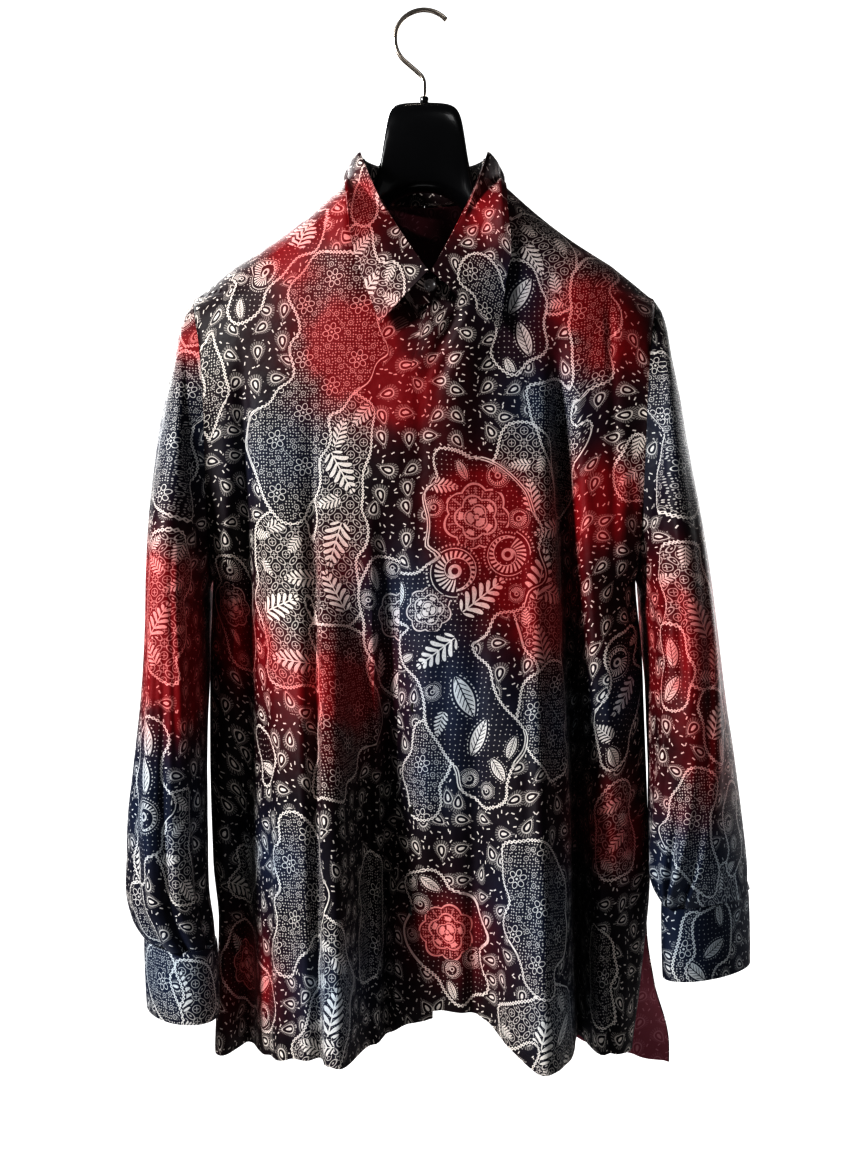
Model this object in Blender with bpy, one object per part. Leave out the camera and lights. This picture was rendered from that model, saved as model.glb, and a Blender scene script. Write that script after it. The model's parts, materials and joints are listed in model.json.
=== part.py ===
"""A long-sleeved batik shirt, buttoned up and hung on a moulded suit hanger.

Metres, +Z up. The origin is the inside top of the hanger's hook, the point that hangs on a nail or
a rail. The shirt faces -Y. The wearer's left side is at +X. Every cloth piece is a thin wall on a
form worked out here from the lie of its seams, its depth and its folds. Neighbours stay GAP apart.
"""
import math
from collections import namedtuple

import bmesh
import bpy
from mathutils import Matrix, Vector

# Cloth
CLOTH = 0.0016  # wall of every cloth piece
GAP = 0.0003  # between neighbours at a seam
LAYER = 0.0050  # from the under front to the fly that covers it and its buttons

# Shoulders and armholes, each the same on both sides
NECK_X = 0.066  # where the shoulder seam meets the neckline
NECK_Z = -0.152
TIP_X = 0.200  # shoulder point
TIP_Z = -0.253
SHOULDER_DIP = 0.005  # how far the cloth sinks between neck and shoulder point
UNDERARM_Z = -0.500
VENT_Z = -0.812
ARMHOLE_DEPTH = 0.053  # half of the armhole, front to back
ARCH_TIP = 0.035  # height over which the cloth turns down over the hanger, at the shoulder point
ARCH_MIDDLE = 0.085  # and at the neck

# Neckline
NECK_FRONT = Vector((0.004, -0.068, -0.272))
NECK_CURVE = 0.50  # how soon the neckline comes forward
NECK_BACK_Y = 0.060
NECK_BACK_DROP = 0.005

# Front and back
FRONT_DEPTH = 0.066
BACK_DEPTH = 0.052
CHEST_ROUND = 0.016  # how much shallower the front is at the side than at the middle
SIDE_POWER = 5.0  # how late the front turns back to the side seam
UNDERLAP = 0.032  # of the under front beneath the fly
UNDERLAP_TOP = 0.008
FLY_FADE = 0.040  # how far past the underlap the top front eases back
FLY_GROW = 0.040  # how far below the stand the two fronts are fully parted
NECK_STEPS = 6  # columns of a front along the neckline
BACK_NECK_STEPS = 5
SHOULDER_STEPS = 10  # columns along a front's shoulder seam
BACK_SHOULDER_STEPS = 8
ARCH_ROWS = 3
CHEST_ROWS = 7
SKIRT_ROWS = 11

# Line of the fly edge and of the side seams, from the top down
Edge = namedtuple("Edge", "z x")
FLY_EDGE = (
    Edge(-0.262, 0.0040),
    Edge(-0.290, -0.0020),
    Edge(-0.329, -0.0115),
    Edge(-0.360, -0.0155),
    Edge(-0.450, -0.0185),
    Edge(-0.697, -0.0232),
    Edge(-0.920, -0.0245),
)
Seam = namedtuple("Seam", "z front_x front_y back_x back_y")
SEAM_LEFT = (
    Seam(-0.253, 0.2000, 0.000, 0.2000, 0.000),
    Seam(-0.300, 0.1930, 0.000, 0.1930, 0.000),
    Seam(-0.350, 0.1885, 0.000, 0.1885, 0.000),
    Seam(-0.420, 0.1860, 0.000, 0.1860, 0.000),
    Seam(-0.500, 0.1855, 0.000, 0.1855, 0.000),
    Seam(-0.650, 0.1855, 0.000, 0.1855, 0.000),
    Seam(-0.750, 0.1880, 0.000, 0.1880, 0.000),
    Seam(-0.800, 0.1915, 0.000, 0.1915, 0.000),
    Seam(-0.860, 0.1870, -0.012, 0.2050, 0.014),
    Seam(-0.905, 0.1788, -0.026, 0.2185, 0.026),
    Seam(-0.940, 0.1770, -0.028, 0.2200, 0.028),
)
SEAM_RIGHT = (
    Seam(-0.253, 0.2000, 0.000, 0.2000, 0.000),
    Seam(-0.300, 0.1910, 0.000, 0.1910, 0.000),
    Seam(-0.350, 0.1860, 0.000, 0.1860, 0.000),
    Seam(-0.420, 0.1845, 0.000, 0.1845, 0.000),
    Seam(-0.500, 0.1850, 0.000, 0.1850, 0.000),
    Seam(-0.650, 0.1840, 0.002, 0.1840, 0.002),
    Seam(-0.750, 0.1820, 0.006, 0.1820, 0.006),
    Seam(-0.800, 0.1812, 0.007, 0.1812, 0.007),
    Seam(-0.860, 0.1820, 0.002, 0.1825, 0.014),
    Seam(-0.912, 0.1826, -0.006, 0.1835, 0.020),
    Seam(-0.940, 0.1826, -0.008, 0.1835, 0.022),
)

# Hem, across the fronts and across the back
Hem = namedtuple("Hem", "x z")
FRONT_HEM = (
    Hem(-0.184, -0.910),
    Hem(-0.150, -0.903),
    Hem(-0.101, -0.889),
    Hem(-0.063, -0.8925),
    Hem(-0.041, -0.877),
    Hem(-0.010, -0.8665),
    Hem(0.016, -0.8625),
    Hem(0.046, -0.866),
    Hem(0.067, -0.882),
    Hem(0.094, -0.8965),
    Hem(0.122, -0.895),
    Hem(0.156, -0.8995),
    Hem(0.184, -0.903),
)
BACK_HEM = (
    Hem(-0.184, -0.914),
    Hem(-0.100, -0.898),
    Hem(0.000, -0.892),
    Hem(0.100, -0.900),
    Hem(0.190, -0.930),
    Hem(0.222, -0.933),
)

# Folds: the line runs from top to foot, width is to either side, depth is pushed in (+) or out (-)
Fold = namedtuple("Fold", "top_x top_z foot_x foot_z width_right width_left depth_top depth_foot")
FRONT_FOLDS = {
    "right_bulge": Fold(-0.112, -0.360, -0.068, -0.900, 0.046, 0.075, 0.000, -0.050),
    "left_bulge": Fold(0.060, -0.430, 0.104, -0.900, 0.062, 0.060, 0.000, -0.048),
    "fly_valley": Fold(-0.052, -0.450, -0.047, -0.790, 0.024, 0.024, 0.000, 0.040),
    "fly_hollow": Fold(0.010, -0.560, 0.012, -0.900, 0.050, 0.050, 0.000, 0.020),
    "left_valley": Fold(0.110, -0.270, 0.132, -0.600, 0.017, 0.020, 0.006, 0.030),
    "left_strip": Fold(0.160, -0.300, 0.160, -0.880, 0.018, 0.018, 0.000, -0.012),
    "right_valley": Fold(-0.154, -0.300, -0.147, -0.600, 0.018, 0.016, 0.004, 0.020),
    "right_strip": Fold(-0.172, -0.290, -0.168, -0.600, 0.014, 0.012, 0.000, -0.006),
    "right_hollow": Fold(-0.172, -0.600, -0.160, -0.840, 0.024, 0.022, 0.000, 0.026),
}
BACK_FOLDS = {
    "right_pleat": Fold(-0.120, -0.300, -0.112, -0.900, 0.030, 0.026, 0.000, -0.016),
    "middle_pleat": Fold(-0.030, -0.330, -0.042, -0.900, 0.034, 0.034, 0.000, -0.020),
    "left_pleat": Fold(0.072, -0.280, 0.060, -0.900, 0.028, 0.032, 0.000, -0.014),
    "side_pleat": Fold(0.138, -0.340, 0.146, -0.900, 0.026, 0.024, 0.000, -0.018),
}

# Sleeves: each ring runs from a point on the outer line to one on the inner line
Ring = namedtuple("Ring", "outer_x outer_z inner_x inner_z depth y turn")
SLEEVE_RIGHT = (
    Ring(0.2060, -0.262, 0.1880, -0.503, 0.0570, 0.000, 0),
    Ring(0.2110, -0.277, 0.1890, -0.505, 0.0635, 0.000, 0),
    Ring(0.2160, -0.305, 0.1895, -0.509, 0.0700, 0.000, 0),
    Ring(0.2240, -0.342, 0.1895, -0.516, 0.0745, 0.000, 0),
    Ring(0.2310, -0.385, 0.1895, -0.527, 0.0780, 0.000, 0),
    Ring(0.2360, -0.432, 0.1895, -0.543, 0.0795, -0.001, 0),
    Ring(0.2395, -0.485, 0.1895, -0.566, 0.0795, -0.002, 1),
    Ring(0.2420, -0.542, 0.1895, -0.595, 0.0785, -0.004, 3),
    Ring(0.2460, -0.600, 0.1900, -0.628, 0.0760, -0.007, 5),
    Ring(0.2515, -0.655, 0.1895, -0.668, 0.0725, -0.012, 8),
    Ring(0.2560, -0.712, 0.1885, -0.716, 0.0680, -0.018, 12),
    Ring(0.2560, -0.758, 0.1875, -0.760, 0.0630, -0.024, 17),
    Ring(0.2490, -0.788, 0.1830, -0.790, 0.0570, -0.029, 21),
    Ring(0.2370, -0.8060, 0.1820, -0.8060, 0.0500, -0.032, 24),
)
SLEEVE_LEFT = (
    Ring(0.2060, -0.262, 0.1885, -0.503, 0.0570, 0.000, 0),
    Ring(0.2105, -0.277, 0.1895, -0.505, 0.0635, 0.000, 0),
    Ring(0.2145, -0.302, 0.1905, -0.508, 0.0695, 0.000, 0),
    Ring(0.2205, -0.335, 0.1910, -0.514, 0.0740, 0.000, 0),
    Ring(0.2280, -0.380, 0.1915, -0.524, 0.0775, 0.000, 0),
    Ring(0.2370, -0.428, 0.1925, -0.540, 0.0790, 0.000, 0),
    Ring(0.2460, -0.480, 0.1935, -0.562, 0.0790, -0.001, 1),
    Ring(0.2545, -0.535, 0.1950, -0.590, 0.0780, -0.002, 3),
    Ring(0.2620, -0.590, 0.1975, -0.622, 0.0760, -0.004, 6),
    Ring(0.2690, -0.642, 0.2010, -0.660, 0.0730, -0.006, 11),
    Ring(0.2745, -0.695, 0.2060, -0.704, 0.0690, -0.008, 18),
    Ring(0.2765, -0.738, 0.2120, -0.742, 0.0650, -0.010, 28),
    Ring(0.2740, -0.762, 0.2180, -0.764, 0.0600, -0.011, 38),
    Ring(0.2700, -0.7760, 0.2220, -0.7760, 0.0540, -0.012, 45),
)
UNDERARM_EASE = 0.0012  # room for the sleeve's wall beside the side seam

# Cuffs: the foot of each, and how far round its lapped ends lie
Cuff = namedtuple("Cuff", "outer_x inner_x foot_z depth y turn lap_at")
CUFF_RIGHT = Cuff(0.2340, 0.1800, -0.8660, 0.0490, -0.034, 25, 222)
CUFF_LEFT = Cuff(0.2710, 0.2230, -0.8380, 0.0530, -0.013, 46, 222)
CUFF_LAP = 26  # degrees
CUFF_COLUMNS = 19
CUFF_ROWS = 2
CUFF_STEP = 0.0026  # from the under end of a cuff to the end that laps it

# Collar
FOLD_X = 0.0525  # top of the collar at the side of the neck
FOLD_Y = -0.004
FOLD_Z = -0.1275
FOLD_BACK_Y = 0.0585
FOLD_BACK_RISE = 0.004
FOLD_CURVE = 0.62  # how soon the fold comes forward
FOLD_FALL = 0.80  # and how soon it falls
FOLD_FRONT = Vector((0.0050, -0.0745, -0.2445))
STAND_ROWS = 2
STAND_LIFT = 0.0024  # clear of the neckline's edge
STAND_SHORT = 0.0026  # clear of the leaf's fold
STAND_STEP = 0.0018  # half of what parts the two lapped ends
Lap = namedtuple("Lap", "x foot_rise top_drop")
STAND_OVER = (Lap(0.0, 0.0, 0.0), Lap(-0.009, -0.0010, 0.001), Lap(-0.016, 0.001, 0.003), Lap(-0.0195, 0.006, 0.008))
STAND_UNDER = (Lap(0.0, 0.0, 0.0), Lap(0.005, 0.014, 0.001))
LEAF_COLUMNS = 17
LEAF_ROWS = 3
LEAF_OUT = 0.0024  # the leaf's fold outside the stand's top
LEAF_RISE = 0.0004
LEAF_AHEAD = 0.0022  # and further out in front, over the lapped ends
LEAF_PART = 0.0009  # each half's front corner from the middle
LEAF_BACK = 0.0705
LEAF_CROWN = 0.0035  # how far the leaf bows out between its fold and its edge
Leaf = namedtuple("Leaf", "t x z off")
LEAF_RIGHT = (
    Leaf(0.00, 0.0715, -0.1680, 0.0000),
    Leaf(0.25, 0.0715, -0.1640, 0.0000),
    Leaf(0.50, 0.0700, -0.1460, 0.0050),
    Leaf(0.56, 0.0680, -0.1570, 0.0110),
    Leaf(0.64, 0.0650, -0.1770, 0.0075),
    Leaf(0.75, 0.0605, -0.2145, 0.0045),
    Leaf(0.88, 0.0515, -0.2460, 0.0060),
    Leaf(1.00, 0.0360, -0.2860, 0.0085),
)
LEAF_LEFT = (
    Leaf(0.00, 0.0715, -0.1680, 0.0000),
    Leaf(0.25, 0.0715, -0.1640, 0.0000),
    Leaf(0.50, 0.0700, -0.1460, 0.0050),
    Leaf(0.56, 0.0700, -0.1590, 0.0110),
    Leaf(0.64, 0.0700, -0.1810, 0.0075),
    Leaf(0.75, 0.0730, -0.2220, 0.0045),
    Leaf(0.88, 0.0680, -0.2540, 0.0060),
    Leaf(1.00, 0.0640, -0.2925, 0.0085),
)

# Buttons
BUTTON_RADIUS = 0.0055
BUTTON_THICK = 0.0021
BUTTON_RIM = 0.0005
FLY_BUTTONS = 6
FLY_BUTTON_TOP = -0.348
FLY_BUTTON_PITCH = 0.086

# Hanger
WIRE = 0.0022  # radius of the hook's wire
CROOK = 0.0258  # radius of the crook, to the middle of the wire
CROOK_TIP = 50  # degrees past the top
CROOK_FOOT = 140  # degrees from the top to where the wire runs in to the stem
STEM_BEND = 0.007
STEM_TOP = -0.0585
BLOCK_TOP = -0.0800
NUT_RADIUS = 0.0039
NUT_HEIGHT = 0.0050
Station = namedtuple("Station", "x top foot depth")
HANGER = (
    Station(0.0000, -0.0800, -0.1580, 0.0200),
    Station(0.0120, -0.0802, -0.1595, 0.0200),
    Station(0.0220, -0.0812, -0.1640, 0.0200),
    Station(0.0285, -0.0845, -0.1690, 0.0198),
    Station(0.0325, -0.0920, -0.1725, 0.0195),
    Station(0.0350, -0.1060, -0.1750, 0.0195),
    Station(0.0375, -0.1240, -0.1775, 0.0195),
    Station(0.0405, -0.1420, -0.1805, 0.0195),
    Station(0.0450, -0.1560, -0.1845, 0.0197),
    Station(0.0510, -0.1640, -0.1900, 0.0190),
    Station(0.0700, -0.1720, -0.2050, 0.0195),
    Station(0.1000, -0.1880, -0.2290, 0.0225),
    Station(0.1350, -0.2125, -0.2520, 0.0240),
    Station(0.1600, -0.2305, -0.2660, 0.0215),
    Station(0.1760, -0.2440, -0.2730, 0.0180),
    Station(0.1830, -0.2530, -0.2700, 0.0110),
)
HANGER_SIDES = 18
HANGER_SQUARE = 0.72  # 1 is an ellipse, less is squarer

COLOURS = {
    "cloth": ((0.105, 0.020, 0.026, 1), 0.72, 0.0),
    "button": ((0.020, 0.018, 0.020, 1), 0.30, 0.0),
    "plastic": ((0.008, 0.008, 0.009, 1), 0.22, 0.0),
    "steel": ((0.62, 0.58, 0.53, 1), 0.28, 1.0),
}


def smooth(value):
    """Ease from 0 to 1."""
    value = min(max(value, 0.0), 1.0)
    return value * value * (3 - 2 * value)


def along(rows, key, at):
    """Read the columns of a table at a place, easing from row to row."""
    step = 1 if getattr(rows[-1], key) > getattr(rows[0], key) else -1
    place = min(max(at * step, getattr(rows[0], key) * step), getattr(rows[-1], key) * step)
    low = 0
    while low < len(rows) - 2 and getattr(rows[low + 1], key) * step < place:
        low += 1
    span = (getattr(rows[low + 1], key) - getattr(rows[low], key)) * step
    part = (place - getattr(rows[low], key) * step) / span
    before = rows[max(low - 1, 0)]
    after = rows[min(low + 2, len(rows) - 1)]
    return [catmull(a, b, c, d, part) for a, b, c, d in zip(before, rows[low], rows[low + 1], after)]


def catmull(a, b, c, d, part):
    """A smooth value between b and c that never runs past either."""
    slope_b = (c - a) / 2 if (b - a) * (c - b) > 0 else 0.0
    slope_c = (d - b) / 2 if (c - b) * (d - c) > 0 else 0.0
    square = part * part
    cube = square * part
    return (
        (2 * cube - 3 * square + 1) * b
        + (cube - 2 * square + part) * slope_b
        + (3 * square - 2 * cube) * c
        + (cube - square) * slope_c
    )


def shoulder_z(x):
    """Height of the ridge of the shoulder."""
    run = (abs(x) - NECK_X) / (TIP_X - NECK_X)
    return NECK_Z + (TIP_Z - NECK_Z) * run - SHOULDER_DIP * math.sin(math.pi * min(run * 1.4, 1.0))


def front_top(x):
    """Where the front starts: on the neckline near the middle, on the shoulder seam beyond it."""
    if abs(x) >= NECK_X:
        return -GAP / 2, shoulder_z(x)
    reach = NECK_X - NECK_FRONT.x if x > NECK_FRONT.x else NECK_X + NECK_FRONT.x
    part = 1 - abs(x - NECK_FRONT.x) / reach
    y = NECK_FRONT.y * part**NECK_CURVE
    return min(y, -GAP / 2), NECK_Z + (NECK_FRONT.z - NECK_Z) * part


def back_top(x):
    """Where the back starts: on the back neckline or on the shoulder seam."""
    if abs(x) >= NECK_X:
        return GAP / 2, shoulder_z(x)
    part = math.sqrt(1 - (x / NECK_X) ** 2)
    return max(NECK_BACK_Y * part, GAP / 2), NECK_Z - NECK_BACK_DROP * part


def armhole_y(z):
    """Half of the armhole's opening at a height, front to back."""
    middle = (TIP_Z + UNDERARM_Z) / 2
    reach = (z - middle) / (TIP_Z - middle)
    return ARMHOLE_DEPTH * math.sqrt(max(0.0, 1 - reach * reach))


def arch_drop(x):
    """Height over which the cloth turns down from the shoulder or the neckline."""
    return ARCH_MIDDLE + (ARCH_TIP - ARCH_MIDDLE) * min(abs(x) / TIP_X, 1.0)


def arch(x, drop):
    """How far the cloth has come forward at a drop below its top."""
    left = 1 - min(max(drop, 0.0) / arch_drop(x), 1.0)
    return math.sqrt(1 - left * left)


def folds_at(folds, x, z):
    """Sum of the folds' depths at a place."""
    total = 0.0
    for fold in folds.values():
        down = (fold.top_z - z) / (fold.top_z - fold.foot_z)
        if down <= 0:
            continue
        middle = fold.top_x + (fold.foot_x - fold.top_x) * min(down, 1.15)
        side = (x - middle) / (fold.width_right if x > middle else fold.width_left)
        if abs(side) >= 1:
            continue
        grown = smooth(min(down * 3, 1.0)) * fold.depth_top
        grown += (fold.depth_foot - fold.depth_top) * smooth(down)
        total += grown * (0.5 + 0.5 * math.cos(math.pi * side))
    return total


def front_y(x, z):
    """The front's form before it turns to the side seam."""
    top_y, top_z = front_top(x)
    deep = FRONT_DEPTH - CHEST_ROUND * (x / TIP_X) ** 2
    full = -deep + folds_at(FRONT_FOLDS, x, z)
    return top_y + (full - top_y) * arch(x, top_z - z)


def back_y(x, z):
    """The back's form before it turns to the side seam."""
    top_y, top_z = back_top(x)
    deep = BACK_DEPTH - CHEST_ROUND * 0.5 * (x / TIP_X) ** 2
    full = deep + folds_at(BACK_FOLDS, x, z)
    return top_y + (full - top_y) * arch(x, top_z - z)


def side_turn(part):
    """1 over most of a panel, falling to 0 where it reaches the side seam."""
    return math.sqrt(max(0.0, 1 - part**SIDE_POWER))


def row_heights(x, top_z, hem_z):
    """Heights of the rows of a column: the arch, then down to the underarm, then to the hem."""
    heights = []
    drop = arch_drop(x)
    for i in range(ARCH_ROWS):
        heights.append(top_z - drop * (1 - math.cos(math.pi / 2 * i / ARCH_ROWS)))
    chest_top = top_z - drop
    for i in range(CHEST_ROWS):
        heights.append(chest_top + (UNDERARM_Z - chest_top) * math.sin(math.pi / 2 * i / CHEST_ROWS))
    for i in range(SKIRT_ROWS + 1):
        heights.append(UNDERARM_Z + (hem_z - UNDERARM_Z) * i / SKIRT_ROWS)
    return heights


def seam_edge(seams, z, front):
    """x and y of a panel's outer edge, on the armhole above and on the side seam below."""
    row = Seam(*along(seams, "z", z))
    x = row.front_x if front else row.back_x
    y = row.front_y if front else row.back_y
    if z > UNDERARM_Z:
        y += -armhole_y(z) if front else armhole_y(z)
    return x, y + (-GAP / 2 if front else GAP / 2)


def fly_x(z):
    """x of the fly's edge."""
    return Edge(*along(FLY_EDGE, "z", z)).x


def front_rows(side, seams, over):
    """Grid of one front, from its middle edge to its side, top to hem."""
    columns = []
    hem_side = side * Seam(*along(seams, "z", FRONT_HEM[0].z)).front_x
    hem_fly = fly_x(FRONT_HEM[5].z)
    for top_x in front_columns(side, over):
        inner_top = NECK_FRONT.x + (0 if over else UNDERLAP_TOP)
        part = (top_x - inner_top) / (side * TIP_X - inner_top)
        hem_z = Hem(*along(FRONT_HEM, "x", hem_fly + (hem_side - hem_fly) * part)).z
        _, top_z = front_top(top_x)
        column = []
        for z in row_heights(top_x, top_z, hem_z):
            edge_x, edge_y = seam_edge(seams, z, True)
            lap = UNDERLAP_TOP + (UNDERLAP - UNDERLAP_TOP) * smooth((NECK_FRONT.z - z) / UNDERLAP)
            inner = fly_x(z) + (0 if over else lap)
            x = inner + (side * edge_x - inner) * part
            y = edge_y + (front_y(x, z) - edge_y) * side_turn(part)
            y += fly_step(x, z, over)
            column.append(Vector((x, y, z)))
        columns.append(column)
    return turn_grid(columns)


def fly_step(x, z, over):
    """How far a front lies off the common form near the fly: the top one forward, the other back."""
    grown = smooth((NECK_FRONT.z - z) / FLY_GROW)
    near = STAND_STEP * lap_part(x)
    if not over:
        return near * (1 - grown)
    fade = 1 - smooth((x - fly_x(z) - UNDERLAP) / FLY_FADE)
    return -near - (LAYER - near) * fade * grown


def lap_part(x):
    """0 round the neck, rising to 1 where the two ends of the stand lap."""
    reach = NECK_X - NECK_FRONT.x if x > NECK_FRONT.x else NECK_X + NECK_FRONT.x
    return smooth((0.7 * reach - abs(x - NECK_FRONT.x)) / (0.3 * reach))


def back_rows():
    """Grid of the back, from the wearer's right to the left, top to hem."""
    columns = []
    half = back_columns()
    for top_x in [-x for x in half[:0:-1]] + half:
        part = top_x / TIP_X
        side = 1 if part > 0 else -1
        seams = SEAM_LEFT if part > 0 else SEAM_RIGHT
        hem_x = part * Seam(*along(seams, "z", BACK_HEM[0].z)).back_x
        hem_z = Hem(*along(BACK_HEM, "x", hem_x)).z
        _, top_z = back_top(top_x)
        column = []
        for z in row_heights(part * TIP_X, top_z, hem_z):
            edge_x, edge_y = seam_edge(seams, z, False)
            x = abs(part) * edge_x * side
            y = edge_y + (back_y(x, z) - edge_y) * side_turn(abs(part))
            column.append(Vector((x, y, z)))
        columns.append(column)
    return turn_grid(columns)


def steps(start, end, count):
    """Even steps from start to end, both of them in."""
    return [start + (end - start) * i / count for i in range(count + 1)]


def front_columns(side, over):
    """x of a front's columns along its top: one meets the stand at each of the stand's columns."""
    neck = steps(NECK_FRONT.x, side * NECK_X, NECK_STEPS)
    shoulder = steps(side * NECK_X, side * TIP_X, SHOULDER_STEPS)[1:]
    return ([] if over else [NECK_FRONT.x + UNDERLAP_TOP]) + neck + shoulder


def back_columns():
    """x of the back's columns from its middle to its left side, along its top."""
    neck = [NECK_X * math.sin(math.pi / 2 * i / BACK_NECK_STEPS) for i in range(BACK_NECK_STEPS)]
    return neck + steps(NECK_X, TIP_X, BACK_SHOULDER_STEPS)


def turn_grid(columns):
    """Columns of points to rows of points."""
    return [list(row) for row in zip(*columns)]


def grid_normals(rows, ring=False):
    """A unit normal at each point of a grid, from its neighbours."""
    normals = []
    last_row = len(rows) - 1
    last = len(rows[0]) - 1
    for i, row in enumerate(rows):
        line = []
        for j in range(len(row)):
            if ring:
                left, right = row[j - 1], row[(j + 1) % len(row)]
            else:
                left, right = row[max(j - 1, 0)], row[min(j + 1, last)]
            down = rows[min(i + 1, last_row)][j] - rows[max(i - 1, 0)][j]
            line.append((right - left).cross(down).normalized())
        normals.append(line)
    return normals


def flipped(normals, facing):
    """The normals, turned so that most of them face a direction."""
    total = sum((n.dot(facing) for line in normals for n in line), 0.0)
    return normals if total > 0 else [[-n for n in line] for line in normals]


def shell(name, rows, normals, material, ring=False):
    """A closed wall CLOTH thick, with a grid of points at the middle of its thickness."""
    count = len(rows[0])
    outer = [p + n * (CLOTH / 2) for line, ns in zip(rows, normals) for p, n in zip(line, ns)]
    inner = [p - n * (CLOTH / 2) for line, ns in zip(rows, normals) for p, n in zip(line, ns)]
    base = len(outer)
    faces = []
    across = count if ring else count - 1
    for i in range(len(rows) - 1):
        for j in range(across):
            a, b = i * count + j, i * count + (j + 1) % count
            c, d = b + count, a + count
            faces.append((a, b, c, d))
            faces.append((d + base, c + base, b + base, a + base))
    low = (len(rows) - 1) * count
    for j in range(across):
        a, b = j, (j + 1) % count
        faces.append((b, a, a + base, b + base))
        faces.append((a + low, b + low, b + low + base, a + low + base))
    if not ring:
        for i in range(len(rows) - 1):
            a, b = i * count, (i + 1) * count
            faces.append((a, b, b + base, a + base))
            c, d = a + count - 1, b + count - 1
            faces.append((d, c, c + base, d + base))
    return solid(name, outer + inner, faces, material)


def solid(name, points, faces, material):
    """An object from points and faces, with its faces turned out."""
    mesh = bpy.data.meshes.new(name)
    mesh.from_pydata(points, [], faces)
    body = bmesh.new()
    body.from_mesh(mesh)
    bmesh.ops.recalc_face_normals(body, faces=body.faces)
    body.to_mesh(mesh)
    body.free()
    mesh.shade_smooth()
    mesh.set_sharp_from_angle(angle=math.radians(50))
    return place(name, mesh, material)


def place(name, data, material):
    """Link an object that holds the data and wears the material."""
    data.materials.append(material)
    item = bpy.data.objects.new(name, data)
    bpy.context.scene.collection.objects.link(item)
    return item


def armhole_normal(point):
    """Direction square to the armhole's edge, in the armhole's own plane."""
    middle = (TIP_Z + UNDERARM_Z) / 2
    tall = ((TIP_Z - UNDERARM_Z) / 2) ** 2
    return Vector((0, point.y / ARMHOLE_DEPTH**2, (point.z - middle) / tall)).normalized()


def ridge_normal(x):
    """Direction square to the shoulder's ridge."""
    step = 0.001
    rise = (shoulder_z(abs(x) + step) - shoulder_z(abs(x) - step)) / (2 * step)
    return Vector((-rise * math.copysign(1, x), 0, 1)).normalized()


def dress_normals(rows, normals, columns):
    """Set the normals on the shoulder seam, and down the armhole and the side seam."""
    for j, point in enumerate(rows[0]):
        if abs(point.x) > NECK_X - GAP:
            normals[0][j] = ridge_normal(point.x)
    underarm = ARCH_ROWS + CHEST_ROWS
    for j in columns:
        for i, line in enumerate(rows):
            side = math.copysign(1, line[j].x)
            if i < underarm:
                normals[i][j] = armhole_normal(line[j])
            elif line[j].z > VENT_Z - 0.03:
                normals[i][j] = Vector((side, 0, 0))


def front(name, side, seams, over, material):
    """One front."""
    rows = front_rows(side, seams, over)
    normals = flipped(grid_normals(rows), Vector((0, -1, 0)))
    dress_normals(rows, normals, [len(rows[0]) - 1])
    return shell(name, rows, normals, material)


def back(material):
    """The back."""
    rows = back_rows()
    normals = flipped(grid_normals(rows), Vector((0, 1, 0)))
    dress_normals(rows, normals, [0, len(rows[0]) - 1])
    return shell("back", rows, normals, material)


def armhole_ring(side, seams):
    """The armhole's edge, one GAP out, from the shoulder point round the front to it again."""
    heights = row_heights(TIP_X, TIP_Z, UNDERARM_Z - 1)[: ARCH_ROWS + CHEST_ROWS + 1]
    ring = []
    middle = (TIP_Z + UNDERARM_Z) / 2
    for way in (-1, 1):
        for z in heights if way < 0 else heights[-2:0:-1]:
            x = Seam(*along(seams, "z", z)).front_x
            low = max(0.0, (middle - z) / (middle - UNDERARM_Z))
            x += GAP + UNDERARM_EASE * low**6
            ring.append(Vector((side * x, way * armhole_y(z), z)))
    return ring


def turned_ring(angles, side, row):
    """An ellipse through a ring's outer and inner points, turned about a vertical axis."""
    centre = Vector((side * (row.outer_x + row.inner_x) / 2, row.y, (row.outer_z + row.inner_z) / 2))
    across = Vector((side * (row.outer_x - row.inner_x) / 2, 0, (row.outer_z - row.inner_z) / 2))
    deep = Vector((0, -row.depth, 0))
    spin = Matrix.Rotation(math.radians(-side * row.turn), 3, "Z")
    return [centre + spin @ (across * math.cos(a) + deep * math.sin(a)) for a in angles]


def ring_angles(points):
    """Angle of each point round the armhole, from the shoulder point by way of the front."""
    middle = (TIP_Z + UNDERARM_Z) / 2
    tall = (TIP_Z - UNDERARM_Z) / 2
    return [math.atan2(-p.y / ARMHOLE_DEPTH, (p.z - middle) / tall) for p in points]


def outward(rows, normals):
    """Normals of a tube, turned away from its middle."""
    middle = sum(rows[len(rows) // 2], Vector()) / len(rows[0])
    line = rows[len(rows) // 2]
    total = sum((p - middle).dot(n) for p, n in zip(line, normals[len(rows) // 2]))
    return normals if total > 0 else [[-n for n in row] for row in normals]


def sleeve(name, side, seams, table, material):
    """A sleeve, from its armhole to its cuff."""
    first = armhole_ring(side, seams)
    angles = ring_angles(first)
    rows = [first] + [turned_ring(angles, side, row) for row in table]
    normals = outward(rows, grid_normals(rows, ring=True))
    normals[0] = [armhole_normal(p) for p in first]
    normals[-1] = [Vector((n.x, n.y, 0)).normalized() for n in normals[-1]]
    return shell(name, rows, normals, material, ring=True)


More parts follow.
